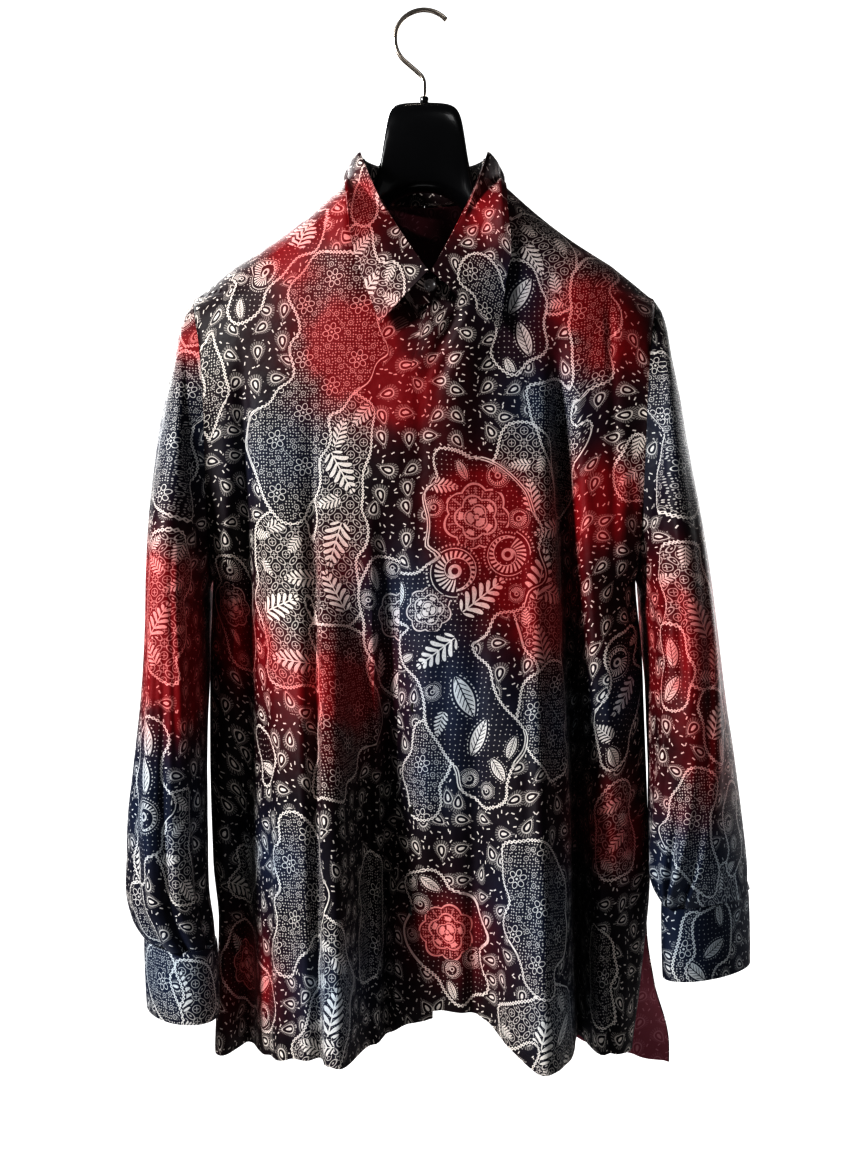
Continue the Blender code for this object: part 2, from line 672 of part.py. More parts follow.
def cuff(name, side, last, table, material):
    """A cuff: a band that goes once round and laps its own start."""
    foot = Ring(table.outer_x, table.foot_z, table.inner_x, table.foot_z, table.depth, table.y, table.turn)
    sweep = 360 + CUFF_LAP
    turns = [j / (CUFF_COLUMNS - 1) for j in range(CUFF_COLUMNS)]
    angles = [math.radians(table.lap_at + sweep * part) for part in turns]
    top_ring = turned_ring(angles, side, last._replace(outer_z=last.outer_z - GAP, inner_z=last.inner_z - GAP))
    foot_ring = turned_ring(angles, side, foot)
    rows = []
    for i in range(CUFF_ROWS + 1):
        part = i / CUFF_ROWS
        line = []
        for j, turn in enumerate(turns):
            centre = Vector((side * (last.outer_x + last.inner_x) / 2, last.y, 0)).lerp(
                Vector((side * (table.outer_x + table.inner_x) / 2, table.y, 0)), part
            )
            point = top_ring[j].lerp(foot_ring[j], part)
            away = (point - centre)
            away.z = 0
            line.append(point + away.normalized() * CUFF_STEP * smooth((turn - 0.45) / 0.5))
        rows.append(line)
    normals = outward(rows, grid_normals(rows))
    normals = [[Vector((n.x, n.y, 0)).normalized() for n in line] for line in normals]
    shell(name, rows, normals, material)
    return rows, normals


def loop_point(t, side, around, front_end, curve_y, curve_z):
    """A point on a line round the neck: t is 0 at the centre back, 0.5 at the side, 1 in front."""
    side_x, side_y, side_z, back_y, back_rise = around
    if t <= 0.5:
        turn = math.pi * t
        y = side_y + (back_y - side_y) * math.cos(turn)
        return Vector((side * side_x * math.sin(turn), y, side_z + back_rise * math.cos(turn)))
    part = (t - 0.5) * 2
    x = side * side_x * (1 - part) + front_end.x * part
    y = side_y + (front_end.y - side_y) * part**curve_y
    return Vector((x, y, side_z + (front_end.z - side_z) * part**curve_z))


def fold_point(t, side):
    """On the fold along the collar's top."""
    around = (FOLD_X, FOLD_Y, FOLD_Z, FOLD_BACK_Y, FOLD_BACK_RISE)
    return loop_point(t, side, around, FOLD_FRONT, FOLD_CURVE, FOLD_FALL)


def neck_point(t, side):
    """On the neckline."""
    around = (NECK_X, 0.0, NECK_Z, NECK_BACK_Y, -NECK_BACK_DROP)
    return loop_point(t, side, around, NECK_FRONT, NECK_CURVE, 1.0)


def stand(material):
    """The collar's stand, with its left end lapped over its right one."""
    columns = []
    half = steps(0, 0.5, BACK_NECK_STEPS) + steps(0.5, 1, NECK_STEPS)[1:]
    for t in [-t for t in half[:0:-1]] + half:
        side = 1 if t > 0 else -1
        foot, top = neck_point(abs(t), side), fold_point(abs(t), side)
        step = -side * STAND_STEP * lap_part(foot.x) if abs(t) > 0.5 else 0.0
        columns.append((foot + Vector((0, step, STAND_LIFT)), top + Vector((0, step, -STAND_SHORT))))
    ends = []
    for laps, step in ((STAND_UNDER, STAND_STEP), (STAND_OVER, -STAND_STEP)):
        end = []
        for lap in laps[1:]:
            foot = NECK_FRONT + Vector((lap.x, step, STAND_LIFT + lap.foot_rise))
            top = FOLD_FRONT + Vector((lap.x, step, -STAND_SHORT - lap.top_drop))
            end.append((foot, top))
        ends.append(end)
    columns = ends[0][::-1] + columns + ends[1]
    rows = [[f.lerp(t, i / STAND_ROWS) for f, t in columns] for i in range(STAND_ROWS + 1)]
    normals = grid_normals(rows)
    return rows, normals, shell("collar_stand", rows, normals, material)


def leaf_edge(t, side, table):
    """On the outer edge of the collar's leaf."""
    row = Leaf(*along(table, "t", t))
    if t <= 0.5:
        turn = math.pi * t
        return Vector((side * row.x * math.sin(turn), LEAF_BACK * math.cos(turn), row.z))
    x = side * row.x
    return lifted(Vector((x, 0, row.z)), row.off)


def lifted(point, off):
    """The point, brought forward where it would be nearer to the front than off."""
    top_y, top_z = front_top(point.x)
    over = front_y(point.x, point.z) if point.z < top_z else top_y
    over += fly_step(point.x, point.z, point.x > 0)
    return Vector((point.x, min(point.y, over - off), point.z))


def leaf(name, side, table, material):
    """Half of the collar's leaf, from the centre back to its front point."""
    columns = []
    for j in range(LEAF_COLUMNS):
        t = j / (LEAF_COLUMNS - 1)
        fold = fold_point(t, side)
        turn = math.pi * t if t <= 0.5 else math.pi / 2 * (2 * t)
        away = Vector((side * math.sin(turn), math.cos(turn), 0))
        ahead = max(2 * t - 1, 0)
        fold += away * (LEAF_OUT + LEAF_AHEAD * ahead) + Vector((side * LEAF_PART * ahead, 0, LEAF_RISE))
        edge = leaf_edge(t, side, table)
        off = Leaf(*along(table, "t", t)).off
        column = []
        for i in range(LEAF_ROWS + 1):
            part = i / LEAF_ROWS
            point = fold.lerp(edge, part) + away * LEAF_CROWN * math.sin(math.pi * part)
            if j == 0:
                point.x = side * GAP / 2
            column.append(lifted(point, off) if t > 0.5 and i else point)
        columns.append(column)
    rows = turn_grid(columns)
    normals = grid_normals(rows)
    for line in normals:
        line[0] = Vector((0, line[0].y, line[0].z)).normalized()
    return shell(name, rows, normals, material)


def button(name, centre, facing, material):
    """A button: a disc with a softened rim."""
    mesh = bpy.data.meshes.new(name)
    body = bmesh.new()
    bmesh.ops.create_cone(
        body,
        cap_ends=True,
        segments=18,
        radius1=BUTTON_RADIUS,
        radius2=BUTTON_RADIUS,
        depth=BUTTON_THICK,
    )
    rims = [edge for edge in body.edges if abs(edge.verts[0].co.z - edge.verts[1].co.z) < GAP]
    bmesh.ops.bevel(body, geom=rims, offset=BUTTON_RIM, segments=1, affect="EDGES")
    body.transform(facing.to_track_quat("Z", "Y").to_matrix().to_4x4())
    body.to_mesh(mesh)
    body.free()
    mesh.shade_smooth()
    mesh.set_sharp_from_angle(angle=math.radians(40))
    item = place(name, mesh, material)
    item.location = centre
    return item


def hanger_body(material):
    """The moulded hanger: sections square to X, from one shoulder tip to the other."""
    stations = [row._replace(x=-row.x) for row in HANGER[:0:-1]] + list(HANGER)
    points = []
    faces = []
    for row in stations:
        middle, half = (row.top + row.foot) / 2, (row.top - row.foot) / 2
        for j in range(HANGER_SIDES):
            turn = 2 * math.pi * j / HANGER_SIDES
            across = math.copysign(abs(math.cos(turn)) ** HANGER_SQUARE, math.cos(turn))
            up = math.copysign(abs(math.sin(turn)) ** HANGER_SQUARE, math.sin(turn))
            points.append(Vector((row.x, row.depth * across, middle + half * up)))
    for i in range(len(stations) - 1):
        for j in range(HANGER_SIDES):
            a, b = i * HANGER_SIDES + j, i * HANGER_SIDES + (j + 1) % HANGER_SIDES
            faces.append((a, b, b + HANGER_SIDES, a + HANGER_SIDES))
    faces.append(tuple(range(HANGER_SIDES)))
    faces.append(tuple(len(points) - 1 - j for j in range(HANGER_SIDES)))
    return solid("hanger_body", points, faces, material)


def hook_route():
    """The middle of the hook's wire, from its free tip to where it enters the block."""
    centre = Vector((0, 0, -CROOK + WIRE))
    route = []
    steps = 34
    for i in range(steps + 1):
        turn = math.radians(-CROOK_TIP + (CROOK_FOOT + CROOK_TIP) * i / steps)
        route.append(centre + Vector((-math.sin(turn), 0, math.cos(turn))) * CROOK)
    leave = math.radians(CROOK_FOOT)
    way = Vector((-math.cos(leave), 0, -math.sin(leave)))
    start = route[-1]
    corner = start + way * (-start.x / way.x)
    bend = STEM_BEND
    for i in range(1, 7):
        part = i / 6
        first = corner - way * bend
        last = corner + Vector((0, 0, -bend))
        route.append(first.lerp(corner, part).lerp(corner.lerp(last, part), part))
    route.append(Vector((0, 0, BLOCK_TOP + GAP)))
    return route


def hanger_hook(material):
    """The bent wire."""
    curve = bpy.data.curves.new("hanger_hook", "CURVE")
    curve.dimensions = "3D"
    curve.bevel_depth = WIRE
    curve.bevel_resolution = 3
    curve.use_fill_caps = True
    line = curve.splines.new("POLY")
    route = hook_route()
    line.points.add(len(route) - 1)
    for spot, point in zip(line.points, route):
        spot.co = (*point, 1)
    return place("hanger_hook", curve, material)


def hanger_nut(material):
    """The collar round the stem, on top of the block."""
    foot = BLOCK_TOP + GAP
    sides = 16
    profile = (
        (WIRE + GAP, foot + NUT_HEIGHT),
        (NUT_RADIUS - BUTTON_RIM, foot + NUT_HEIGHT),
        (NUT_RADIUS, foot + NUT_HEIGHT - BUTTON_RIM),
        (NUT_RADIUS, foot),
        (WIRE + GAP, foot),
    )
    points = []
    faces = []
    for j in range(sides):
        turn = 2 * math.pi * j / sides
        points += [Vector((r * math.cos(turn), r * math.sin(turn), z)) for r, z in profile]
    for j in range(sides):
        for i in range(len(profile)):
            a, b = j * len(profile) + i, j * len(profile) + (i + 1) % len(profile)
            step = len(profile)
            total = len(points)
            faces.append((a, b, (b + step) % total, (a + step) % total))
    return solid("hanger_nut", points, faces, material)


def make_material(name):
    """A plain surface in the piece's own colour."""
    colour, roughness, metallic = COLOURS[name]
    material = bpy.data.materials.new(name)
    material.use_nodes = True
    surface = material.node_tree.nodes["Principled BSDF"]
    surface.inputs["Base Color"].default_value = colour
    surface.inputs["Roughness"].default_value = roughness
    surface.inputs["Metallic"].default_value = metallic
    material.diffuse_color = colour
    return material


def main():
    """Make every piece."""
    for item in list(bpy.data.objects):
        bpy.data.objects.remove(item, do_unlink=True)
    materials = {name: make_material(name) for name in COLOURS}
    cloth = materials["cloth"]
    front("front_left", 1, SEAM_LEFT, True, cloth)
    front("front_right", -1, SEAM_RIGHT, False, cloth)
    back(cloth)
    sleeve("sleeve_left", 1, SEAM_LEFT, SLEEVE_LEFT, cloth)
    sleeve("sleeve_right", -1, SEAM_RIGHT, SLEEVE_RIGHT, cloth)
    for name, side, last, table in (
        ("left", 1, SLEEVE_LEFT[-1], CUFF_LEFT),
        ("right", -1, SLEEVE_RIGHT[-1], CUFF_RIGHT),
    ):
        rows, normals = cuff("cuff_" + name, side, last, table, cloth)
        place_at = CUFF_COLUMNS - 2
        facing = normals[1][place_at]
        spot = rows[1][place_at] + facing * (CLOTH / 2 + BUTTON_THICK / 2 + 2 * GAP)
        button("cuff_button_" + name, spot, facing, materials["button"])
    stand(cloth)
    leaf("collar_leaf_left", 1, LEAF_LEFT, cloth)
    leaf("collar_leaf_right", -1, LEAF_RIGHT, cloth)
    face = FOLD_FRONT.lerp(NECK_FRONT, 0.42)
    lift = STAND_STEP + CLOTH + BUTTON_THICK / 2 + 6 * GAP
    button("top_button", face + Vector((0.001, -lift, 0)), Vector((0, -1, 0.2)), materials["button"])
    for number in range(FLY_BUTTONS):
        z = FLY_BUTTON_TOP - FLY_BUTTON_PITCH * number
        x = fly_x(z) + UNDERLAP / 2
        y = front_y(x, z) - LAYER / 2
        across = (front_y(x + BUTTON_RADIUS, z) - front_y(x - BUTTON_RADIUS, z)) / (2 * BUTTON_RADIUS)
        down = (front_y(x, z + BUTTON_RADIUS) - front_y(x, z - BUTTON_RADIUS)) / (2 * BUTTON_RADIUS)
        facing = Vector((across, -1, down))
        button("fly_button_%d" % (number + 1), Vector((x, y, z)), facing, materials["button"])
    hanger_body(materials["plastic"])
    hanger_hook(materials["steel"])
    hanger_nut(materials["plastic"])


main()
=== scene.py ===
"""A long-sleeved batik shirt on a moulded hanger, with its print, buttons, stage and camera."""
import json
import math
from collections import namedtuple
from functools import reduce

import bmesh
import bpy
import numpy as np
from mathutils import Matrix, Vector

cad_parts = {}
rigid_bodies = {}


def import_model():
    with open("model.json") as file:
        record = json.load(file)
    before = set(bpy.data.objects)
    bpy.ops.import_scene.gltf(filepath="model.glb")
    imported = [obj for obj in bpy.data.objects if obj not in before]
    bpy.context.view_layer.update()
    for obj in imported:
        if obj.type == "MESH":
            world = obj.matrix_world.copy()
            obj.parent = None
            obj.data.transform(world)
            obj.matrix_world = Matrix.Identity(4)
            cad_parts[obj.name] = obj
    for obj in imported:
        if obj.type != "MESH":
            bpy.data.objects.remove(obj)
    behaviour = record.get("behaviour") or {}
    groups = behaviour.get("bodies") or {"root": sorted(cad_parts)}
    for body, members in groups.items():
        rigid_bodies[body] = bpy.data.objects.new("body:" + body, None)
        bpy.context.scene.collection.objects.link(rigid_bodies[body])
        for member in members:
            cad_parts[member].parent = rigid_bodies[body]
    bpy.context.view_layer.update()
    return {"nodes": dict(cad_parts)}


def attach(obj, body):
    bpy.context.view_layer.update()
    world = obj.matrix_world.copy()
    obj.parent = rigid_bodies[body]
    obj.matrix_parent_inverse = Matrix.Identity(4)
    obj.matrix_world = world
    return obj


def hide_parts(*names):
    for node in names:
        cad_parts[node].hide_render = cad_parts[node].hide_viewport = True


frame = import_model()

bl_info = {
    "name": "Batik Shirt",
    "version": (1, 0, 0),
    "blender": (4, 5, 0),
    "location": "View3D > Sidebar > Batik Shirt",
    "description": "Makes a hung batik shirt, its hanger and its stage on the packed frame",
    "category": "Object",
}


def metres(kind, rows, plain=0):
    """The rows of a table with their millimetres as metres, all but the last plain columns."""
    cut = len(kind._fields) - plain
    return tuple(kind(*(value / 1000 for value in row[:cut]), *row[cut:]) for row in rows)


# Cloth
GAP = 0.0003  # between neighbours at a seam
LAYER = 0.0050  # from the under front to the fly that covers it and its buttons

# Shoulders and armholes, each the same on both sides
NECK_X = 0.066  # where the shoulder seam meets the neckline
NECK_Z = -0.152
TIP_X = 0.200  # shoulder point
TIP_Z = -0.253
SHOULDER_DIP = 0.005  # how far the cloth sinks between neck and shoulder point
UNDERARM_Z = -0.500
VENT_Z = -0.812
VENT_EASE = 0.03  # below the vent's top, where the two panels still face the same way
ARMHOLE_DEPTH = 0.053  # half of the armhole, front to back
ARCH_TIP = 0.035  # height over which the cloth turns down over the hanger, at the shoulder point
ARCH_MIDDLE = 0.085  # and at the neck

# Neckline
NECK_FRONT = Vector((0.004, -0.068, -0.272))
NECK_CURVE = 0.50  # how soon the neckline comes forward
NECK_BACK_Y = 0.060
NECK_BACK_DROP = 0.005

# Front and back
FRONT_DEPTH = 0.066
BACK_DEPTH = 0.052
CHEST_ROUND = 0.016  # how much shallower the front is at the side than at the middle
BACK_ROUND = 0.008
SIDE_POWER = 5.0  # how late a panel turns to the side seam
UNDERLAP = 0.032  # of the under front beneath the fly
UNDERLAP_TOP = 0.008
FLY_FADE = 0.040  # how far past the underlap the top front eases back
FLY_GROW = 0.040  # how far below the stand the two fronts are fully parted
NECK_STEPS = 26  # columns of a front along the neckline
BACK_NECK_STEPS = 20
SHOULDER_STEPS = 50  # columns along a front's shoulder seam
BACK_SHOULDER_STEPS = 44
ARCH_ROWS = 14
CHEST_ROWS = 58
SKIRT_ROWS = 130

# Line of the fly edge and of the side seams, from the top down
Edge = namedtuple("Edge", "z x")
FLY_EDGE = metres(Edge, (
    (-262, 4), (-290, -2), (-329, -11.5), (-360, -15.5), (-450, -18.5), (-697, -23.2),
    (-920, -24.5),
))
Seam = namedtuple("Seam", "z front_x front_y back_x back_y")
SEAM_LEFT = metres(Seam, (
    (-253, 200, 0, 200, 0), (-300, 193, 0, 193, 0), (-350, 188.5, 0, 188.5, 0),
    (-420, 186, 0, 186, 0), (-500, 185.5, 0, 185.5, 0), (-560, 190.8, 0, 190.8, 0),
    (-620, 193.2, 0, 193.2, 0), (-700, 196.2, 0, 196.2, 0), (-750, 198.5, 0, 198.5, 0),
    (-800, 195.5, 0, 195.5, 0), (-860, 187, -12, 205, 14), (-905, 178.8, -26, 218.5, 26),
    (-940, 177, -28, 220, 28),
))
SEAM_RIGHT = metres(Seam, (
    (-253, 200, 0, 200, 0), (-300, 191, 0, 191, 0), (-350, 186, 0, 186, 0),
    (-420, 184.5, 0, 184.5, 0), (-500, 185, 0, 185, 0), (-560, 187.3, 0, 187.3, 0),
    (-650, 188, 2, 188, 2), (-750, 185.8, 6, 185.8, 6), (-800, 181.2, 7, 181.2, 7),
    (-860, 182, 2, 182.5, 14), (-912, 182.6, -6, 183.5, 20), (-940, 182.6, -8, 183.5, 22),
))

# Hem, across the fronts and across the back
HEM_AT_FLY = 5  # row of the front hem where the fly ends
Hem = namedtuple("Hem", "x z")
FRONT_HEM = metres(Hem, (
    (-184, -910), (-150, -903), (-101, -889), (-63, -892.5), (-41, -877), (-10, -866.5),
    (16, -862.5), (46, -866), (67, -882), (94, -896.5), (122, -895), (156, -899.5), (184, -903),
))
BACK_HEM = metres(Hem, (
    (-184, -914), (-100, -898), (0, -892), (100, -900), (190, -930), (222, -933),
))

# Folds: the line runs from top to foot, width is to either side, depth is pushed in (+) or out (-)
Fold = namedtuple("Fold", "top_x top_z foot_x foot_z width_right width_left depth_top depth_foot")
FRONT_FOLDS = metres(Fold, {
    "right_bulge": (-112, -360, -68, -900, 46, 75, 0, -50),
    "left_bulge": (60, -430, 104, -900, 62, 60, 0, -48),
    "fly_valley": (-52, -450, -47, -790, 24, 24, 0, 40),
    "fly_hollow": (10, -560, 12, -900, 50, 50, 0, 20),
    "left_valley": (110, -270, 132, -600, 17, 20, 6, 30),
    "left_strip": (160, -300, 160, -880, 18, 18, 0, -12),
    "right_valley": (-154, -300, -147, -600, 18, 16, 4, 20),
    "right_strip": (-172, -290, -168, -600, 14, 12, 0, -6),
    "right_hollow": (-172, -600, -160, -840, 24, 22, 0, 26),
}.values())
BACK_FOLDS = metres(Fold, {
    "right_pleat": (-120, -300, -112, -900, 30, 26, 0, -16),
    "middle_pleat": (-30, -330, -42, -900, 34, 34, 0, -20),
    "left_pleat": (72, -280, 60, -900, 28, 32, 0, -14),
    "side_pleat": (138, -340, 146, -900, 26, 24, 0, -18),
}.values())

# Sleeves: each ring runs from a point on the outer line to one on the inner line
Ring = namedtuple("Ring", "outer_x outer_z inner_x inner_z depth y turn")
SLEEVE_RIGHT = metres(Ring, (
    (206, -262, 188, -503, 57, 0, 0), (211, -277, 189, -505, 63.5, 0, 0),
    (216, -305, 189.5, -509, 70, 0, 0), (224, -342, 189.5, -516, 74.5, 0, 0),
    (231, -385, 189.5, -527, 78, 0, 0), (236, -432, 189.5, -543, 79.5, -1, 0),
    (239.5, -485, 189.5, -566, 79.5, -2, 1), (242, -542, 189.5, -595, 78.5, -4, 3),
    (246, -600, 190, -628, 76, -7, 5), (251.5, -655, 189.5, -668, 72.5, -12, 8),
    (256, -712, 188.5, -716, 68, -18, 12), (256, -758, 187.5, -760, 63, -24, 17),
    (249, -788, 183, -790, 57, -29, 21), (237, -806, 182, -806, 50, -32, 24),
), plain=1)
SLEEVE_LEFT = metres(Ring, (
    (206, -262, 188.5, -503, 57, 0, 0), (210.5, -277, 189.5, -505, 63.5, 0, 0),
    (214.5, -302, 190.5, -508, 69.5, 0, 0), (220.5, -335, 191, -514, 74, 0, 0),
    (228, -380, 191.5, -524, 77.5, 0, 0), (237, -428, 192.5, -540, 79, 0, 0),
    (246, -480, 193.5, -562, 79, -1, 1), (254.5, -535, 195, -590, 78, -2, 3),
    (262, -590, 195, -622, 76, -4, 6), (269, -642, 196.5, -660, 73, -6, 11),
    (274.5, -695, 198, -704, 69, -8, 18), (276.5, -738, 202, -742, 65, -10, 28),
    (274, -762, 211, -764, 60, -11, 38), (270, -776, 222, -776, 54, -12, 45),
), plain=1)
UNDERARM_EASE = 0.0012  # room for the sleeve's wall beside the side seam

# Cuffs: the foot of each, and how far round its lapped ends lie
Cuff = namedtuple("Cuff", "outer_x inner_x foot_z depth y turn lap_at")
CUFF_RIGHT = Cuff(0.2340, 0.1800, -0.8660, 0.0490, -0.034, 25, 222)
CUFF_LEFT = Cuff(0.2710, 0.2230, -0.8380, 0.0530, -0.013, 46, 222)
CUFF_LAP = 26  # degrees
CUFF_STEP = 0.0026  # from the under end of a cuff to the end that laps it

# Collar
FOLD_X = 0.0525  # top of the collar at the side of the neck
FOLD_Y = -0.004
FOLD_Z = -0.1275
FOLD_BACK_Y = 0.0585
FOLD_BACK_RISE = 0.004
FOLD_CURVE = 0.62  # how soon the fold comes forward
FOLD_FALL = 0.80  # and how soon it falls
FOLD_FRONT = Vector((0.0050, -0.0745, -0.2445))
STAND_LIFT = 0.0024  # clear of the neckline's edge
STAND_SHORT = 0.0026  # clear of the leaf's fold
STAND_STEP = 0.0018  # half of what parts the two lapped ends
Lap = namedtuple("Lap", "x foot_rise top_drop")
STAND_OVER = metres(Lap, ((0, 0, 0), (-9, -1, 1), (-16, 1, 3), (-19.5, 6, 8)))
STAND_UNDER = metres(Lap, ((0, 0, 0), (5, 14, 1)))
LEAF_OUT = 0.0024  # the leaf's fold outside the stand's top
LEAF_RISE = 0.0004
LEAF_AHEAD = 0.0022  # and further out in front, over the lapped ends
LEAF_PART = 0.0009  # each half's front corner from the middle
LEAF_BACK = 0.0705
LEAF_CROWN = 0.0035  # how far the leaf bows out between its fold and its edge
Leaf = namedtuple("Leaf", "x z off t")  # t runs from 0 at the centre back to 1 at the point
LEAF_RIGHT = metres(Leaf, (
    (71.5, -168, 0, 0), (71.5, -164, 0, 0.25), (70, -146, 5, 0.5), (68, -157, 11, 0.56),
    (65, -177, 7.5, 0.64), (60.5, -214.5, 4.5, 0.75), (51.5, -246, 6, 0.88), (36, -286, 8.5, 1),
), plain=1)
LEAF_LEFT = metres(Leaf, (
    (71.5, -168, 0, 0), (71.5, -164, 0, 0.25), (70, -146, 5, 0.5), (70, -159, 11, 0.56),
    (70, -181, 7.5, 0.64), (73, -222, 4.5, 0.75), (68, -254, 6, 0.88), (64, -292.5, 8.5, 1),
), plain=1)

# Walls and grids
WALL = 0.0010
DOUBLE_WALL = 0.0014  # of the cuffs and the collar
RIPPLE = 0.0011  # height of the cloth's unevenness
SLEEVE_ROWS = 170
CAP_SHARE = 8  # one part in so many of a sleeve's rows is its cap
CUFF_COLUMNS = 120
CUFF_ROWS = 16
CUFF_SWELL = 0.0007  # how far a cuff bows out halfway down
LAP_STEPS = 8
STAND_ROWS = 8
LEAF_COLUMNS = 90
LEAF_ROWS = 22
SHARP = math.radians(55)  # a cloth edge that shades sharp

# Buttons and hanger
BUTTON_RIM = 0.0011
BUTTON_DISH = 0.0004
BUTTON_CREASE = 40  # degrees past which an edge shades sharp
NUT_CREASE = 35
NUT_EDGE = 0.0003

# Stage: each light's place, width and share of the main light's power
CAMERA_X = 0.007
SENSOR = 36.0
LIGHTS = (
    ("key_light", (-1.72, -1.20, 0.45), 0.45, 1.08),
    ("fill_light", (1.5, -1.6, -0.5), 1.4, 0.02),
    ("top_light", (0.30, -0.75, 0.75), 0.25, 0.010),
    ("side_light", (2.0, 0.9, -0.2), 1.2, 0.10),
    ("back_light", (-0.9, 1.5, 0.4), 1.2, 0.6),
    ("back_fill", (1.2, 1.4, -0.2), 1.2, 0.25),
)
SKY_LIGHT = ((0.93, 0.96, 1.0), 0.045)  # colour and strength
SKY_SEEN = ((1.0, 1.0, 1.0), 1.0)
FLOOR_RADIUS = 0.9

# Sizes of the print, in metres where it is laid and in millimetres where it is drawn
ISLAND_BLEND = 0.010  # over which one stretch of an island eases into the next
ISLAND_WANDER = 0.0058  # of its edge
ISLAND_SPREAD = 1.32  # how much wider the islands are than their stations' radii
FILL_PITCH = 0.009  # between the places where room for one more motif is looked for
FILL_LARGEST = 0.017
FILL_SMALLEST = 0.0075
FILL_APART = 0.86  # how close two may come, as a share of their sizes
FILL_TURN = 137  # degrees from one to the next
SEED_PITCH = 21.5
GRAIN_PITCH = 7.2
FLOWER_ACROSS = 23.0
FLOWER_DOWN = 45.0
LATTICE_PITCH = 10.4
BEAD_PITCH = 3.1
BEAD_REACH = 2.2  # half of what a beaded line clears
STITCH_RISE = 8.0  # of the hem's stitches above the foot
WEAVE_PITCH = 0.62
FAR = 0.2  # as far as an island's distance counts
MOTIF_REACH = 1.12  # of a motif's own size, over which it is drawn
RED_OVERALL = 0.16  # dye that lies over the whole cloth
BLUE_OVERALL = 0.06
GROUNDS = ("dots", "lattice", "bouquet")

# Small folds that ride on the large ones, and a few deep ones that stay black
FRONT_CREASES = metres(Fold, {
    "chest_tuck": (-93.5, -330, -83.5, -860, 5, 14, 7, 17),
    "chest_roll": (-80, -420, -64, -800, 16, 14, 0, -6),
    "neck_pull": (33, -268, 2, -330, 8, 10, 7, 1),
    "neck_pull_low": (24, -300, 6, -360, 7, 8, 3, 0),
    "armhole_tuck": (156, -262, 160, -345, 6, 7, 4, 2),
    "armhole_roll": (168, -300, 172, -520, 7, 8, -1, -4),
    "left_ridge": (90, -330, 96, -700, 15, 12, 0, -8),
    "left_flute": (62, -600, 56, -900, 14, 16, 0, 10),
    "left_flute_2": (124, -700, 118, -900, 11, 10, 0, 9),
    "middle_flute": (30, -420, 26, -700, 15, 12, 0, -3),
    "right_flute": (-124, -560, -118, -900, 12, 14, 0, -10),
    "right_tuck": (-140, -380, -130, -640, 6, 8, 2, 6),
    "right_side": (-164, -350, -158, -520, 6, 5, 0, 5),
    "fly_shade": (-36, -400, -32, -660, 36, 10, 0, 32),
    "left_deep": (111, -280, 129, -620, 12, 12, 13, 22),
    "left_deep_low": (127, -540, 134, -800, 13, 10, 0, 26),
    "right_deep": (-168, -520, -161, -680, 14, 17, 0, 24),
    "right_chest": (-153, -300, -150, -480, 8, 11, 5, 10),
    "middle_tuck": (48, -520, 44, -840, 7, 14, 0, 9),
    "left_side": (148, -540, 156, -800, 7, 8, 2, 9),
}.values())
BACK_CREASES = metres(Fold, {
    "yoke_drop": (-70, -240, -82, -620, 12, 16, 1, -7),
    "blade": (100, -260, 104, -560, 14, 12, 1, -6),
    "waist": (12, -480, 6, -880, 14, 12, 0, 10),
    "waist_2": (-90, -560, -74, -880, 10, 14, 0, 9),
    "waist_3": (108, -620, 102, -880, 12, 10, 0, 8),
    "side": (-152, -420, -148, -860, 12, 10, 0, 8),
    "side_2": (170, -520, 176, -880, 10, 10, 0, -6),
}.values())
# Folds along a sleeve: turn is degrees round from its outer line by way of the front, and top and
# foot count rings of the sleeve's table
Wrinkle = namedtuple("Wrinkle", "depth turn_top turn_foot top foot width")
WRINKLES_RIGHT = metres(Wrinkle, (
    (-5.2, 62, 58, 3, 13.2, 15), (6, 88, 78, 5.5, 13.2, 12), (-5, 112, 118, 1.5, 9, 16),
    (5, 36, 34, 7, 13.2, 12), (5.5, 132, 126, 6, 13, 13), (6, 235, 245, 3, 13, 16),
    (-5, 280, 270, 5, 13.2, 14), (5, 312, 318, 6.5, 13.2, 13),
), plain=5)
WRINKLES_LEFT = metres(Wrinkle, (
    (7, 66, 70, 9.6, 13.4, 9), (7.5, 100, 96, 8.8, 13.4, 9), (-5, 84, 84, 8, 13.4, 10),
    (-4.5, 46, 52, 2.5, 10, 15), (5, 108, 104, 1.5, 8, 15), (-4.5, 126, 130, 4, 12, 12),
    (6, 240, 236, 3, 13, 15), (-5, 275, 285, 6, 13.4, 14), (5, 318, 310, 5, 13.2, 12),
), plain=5)

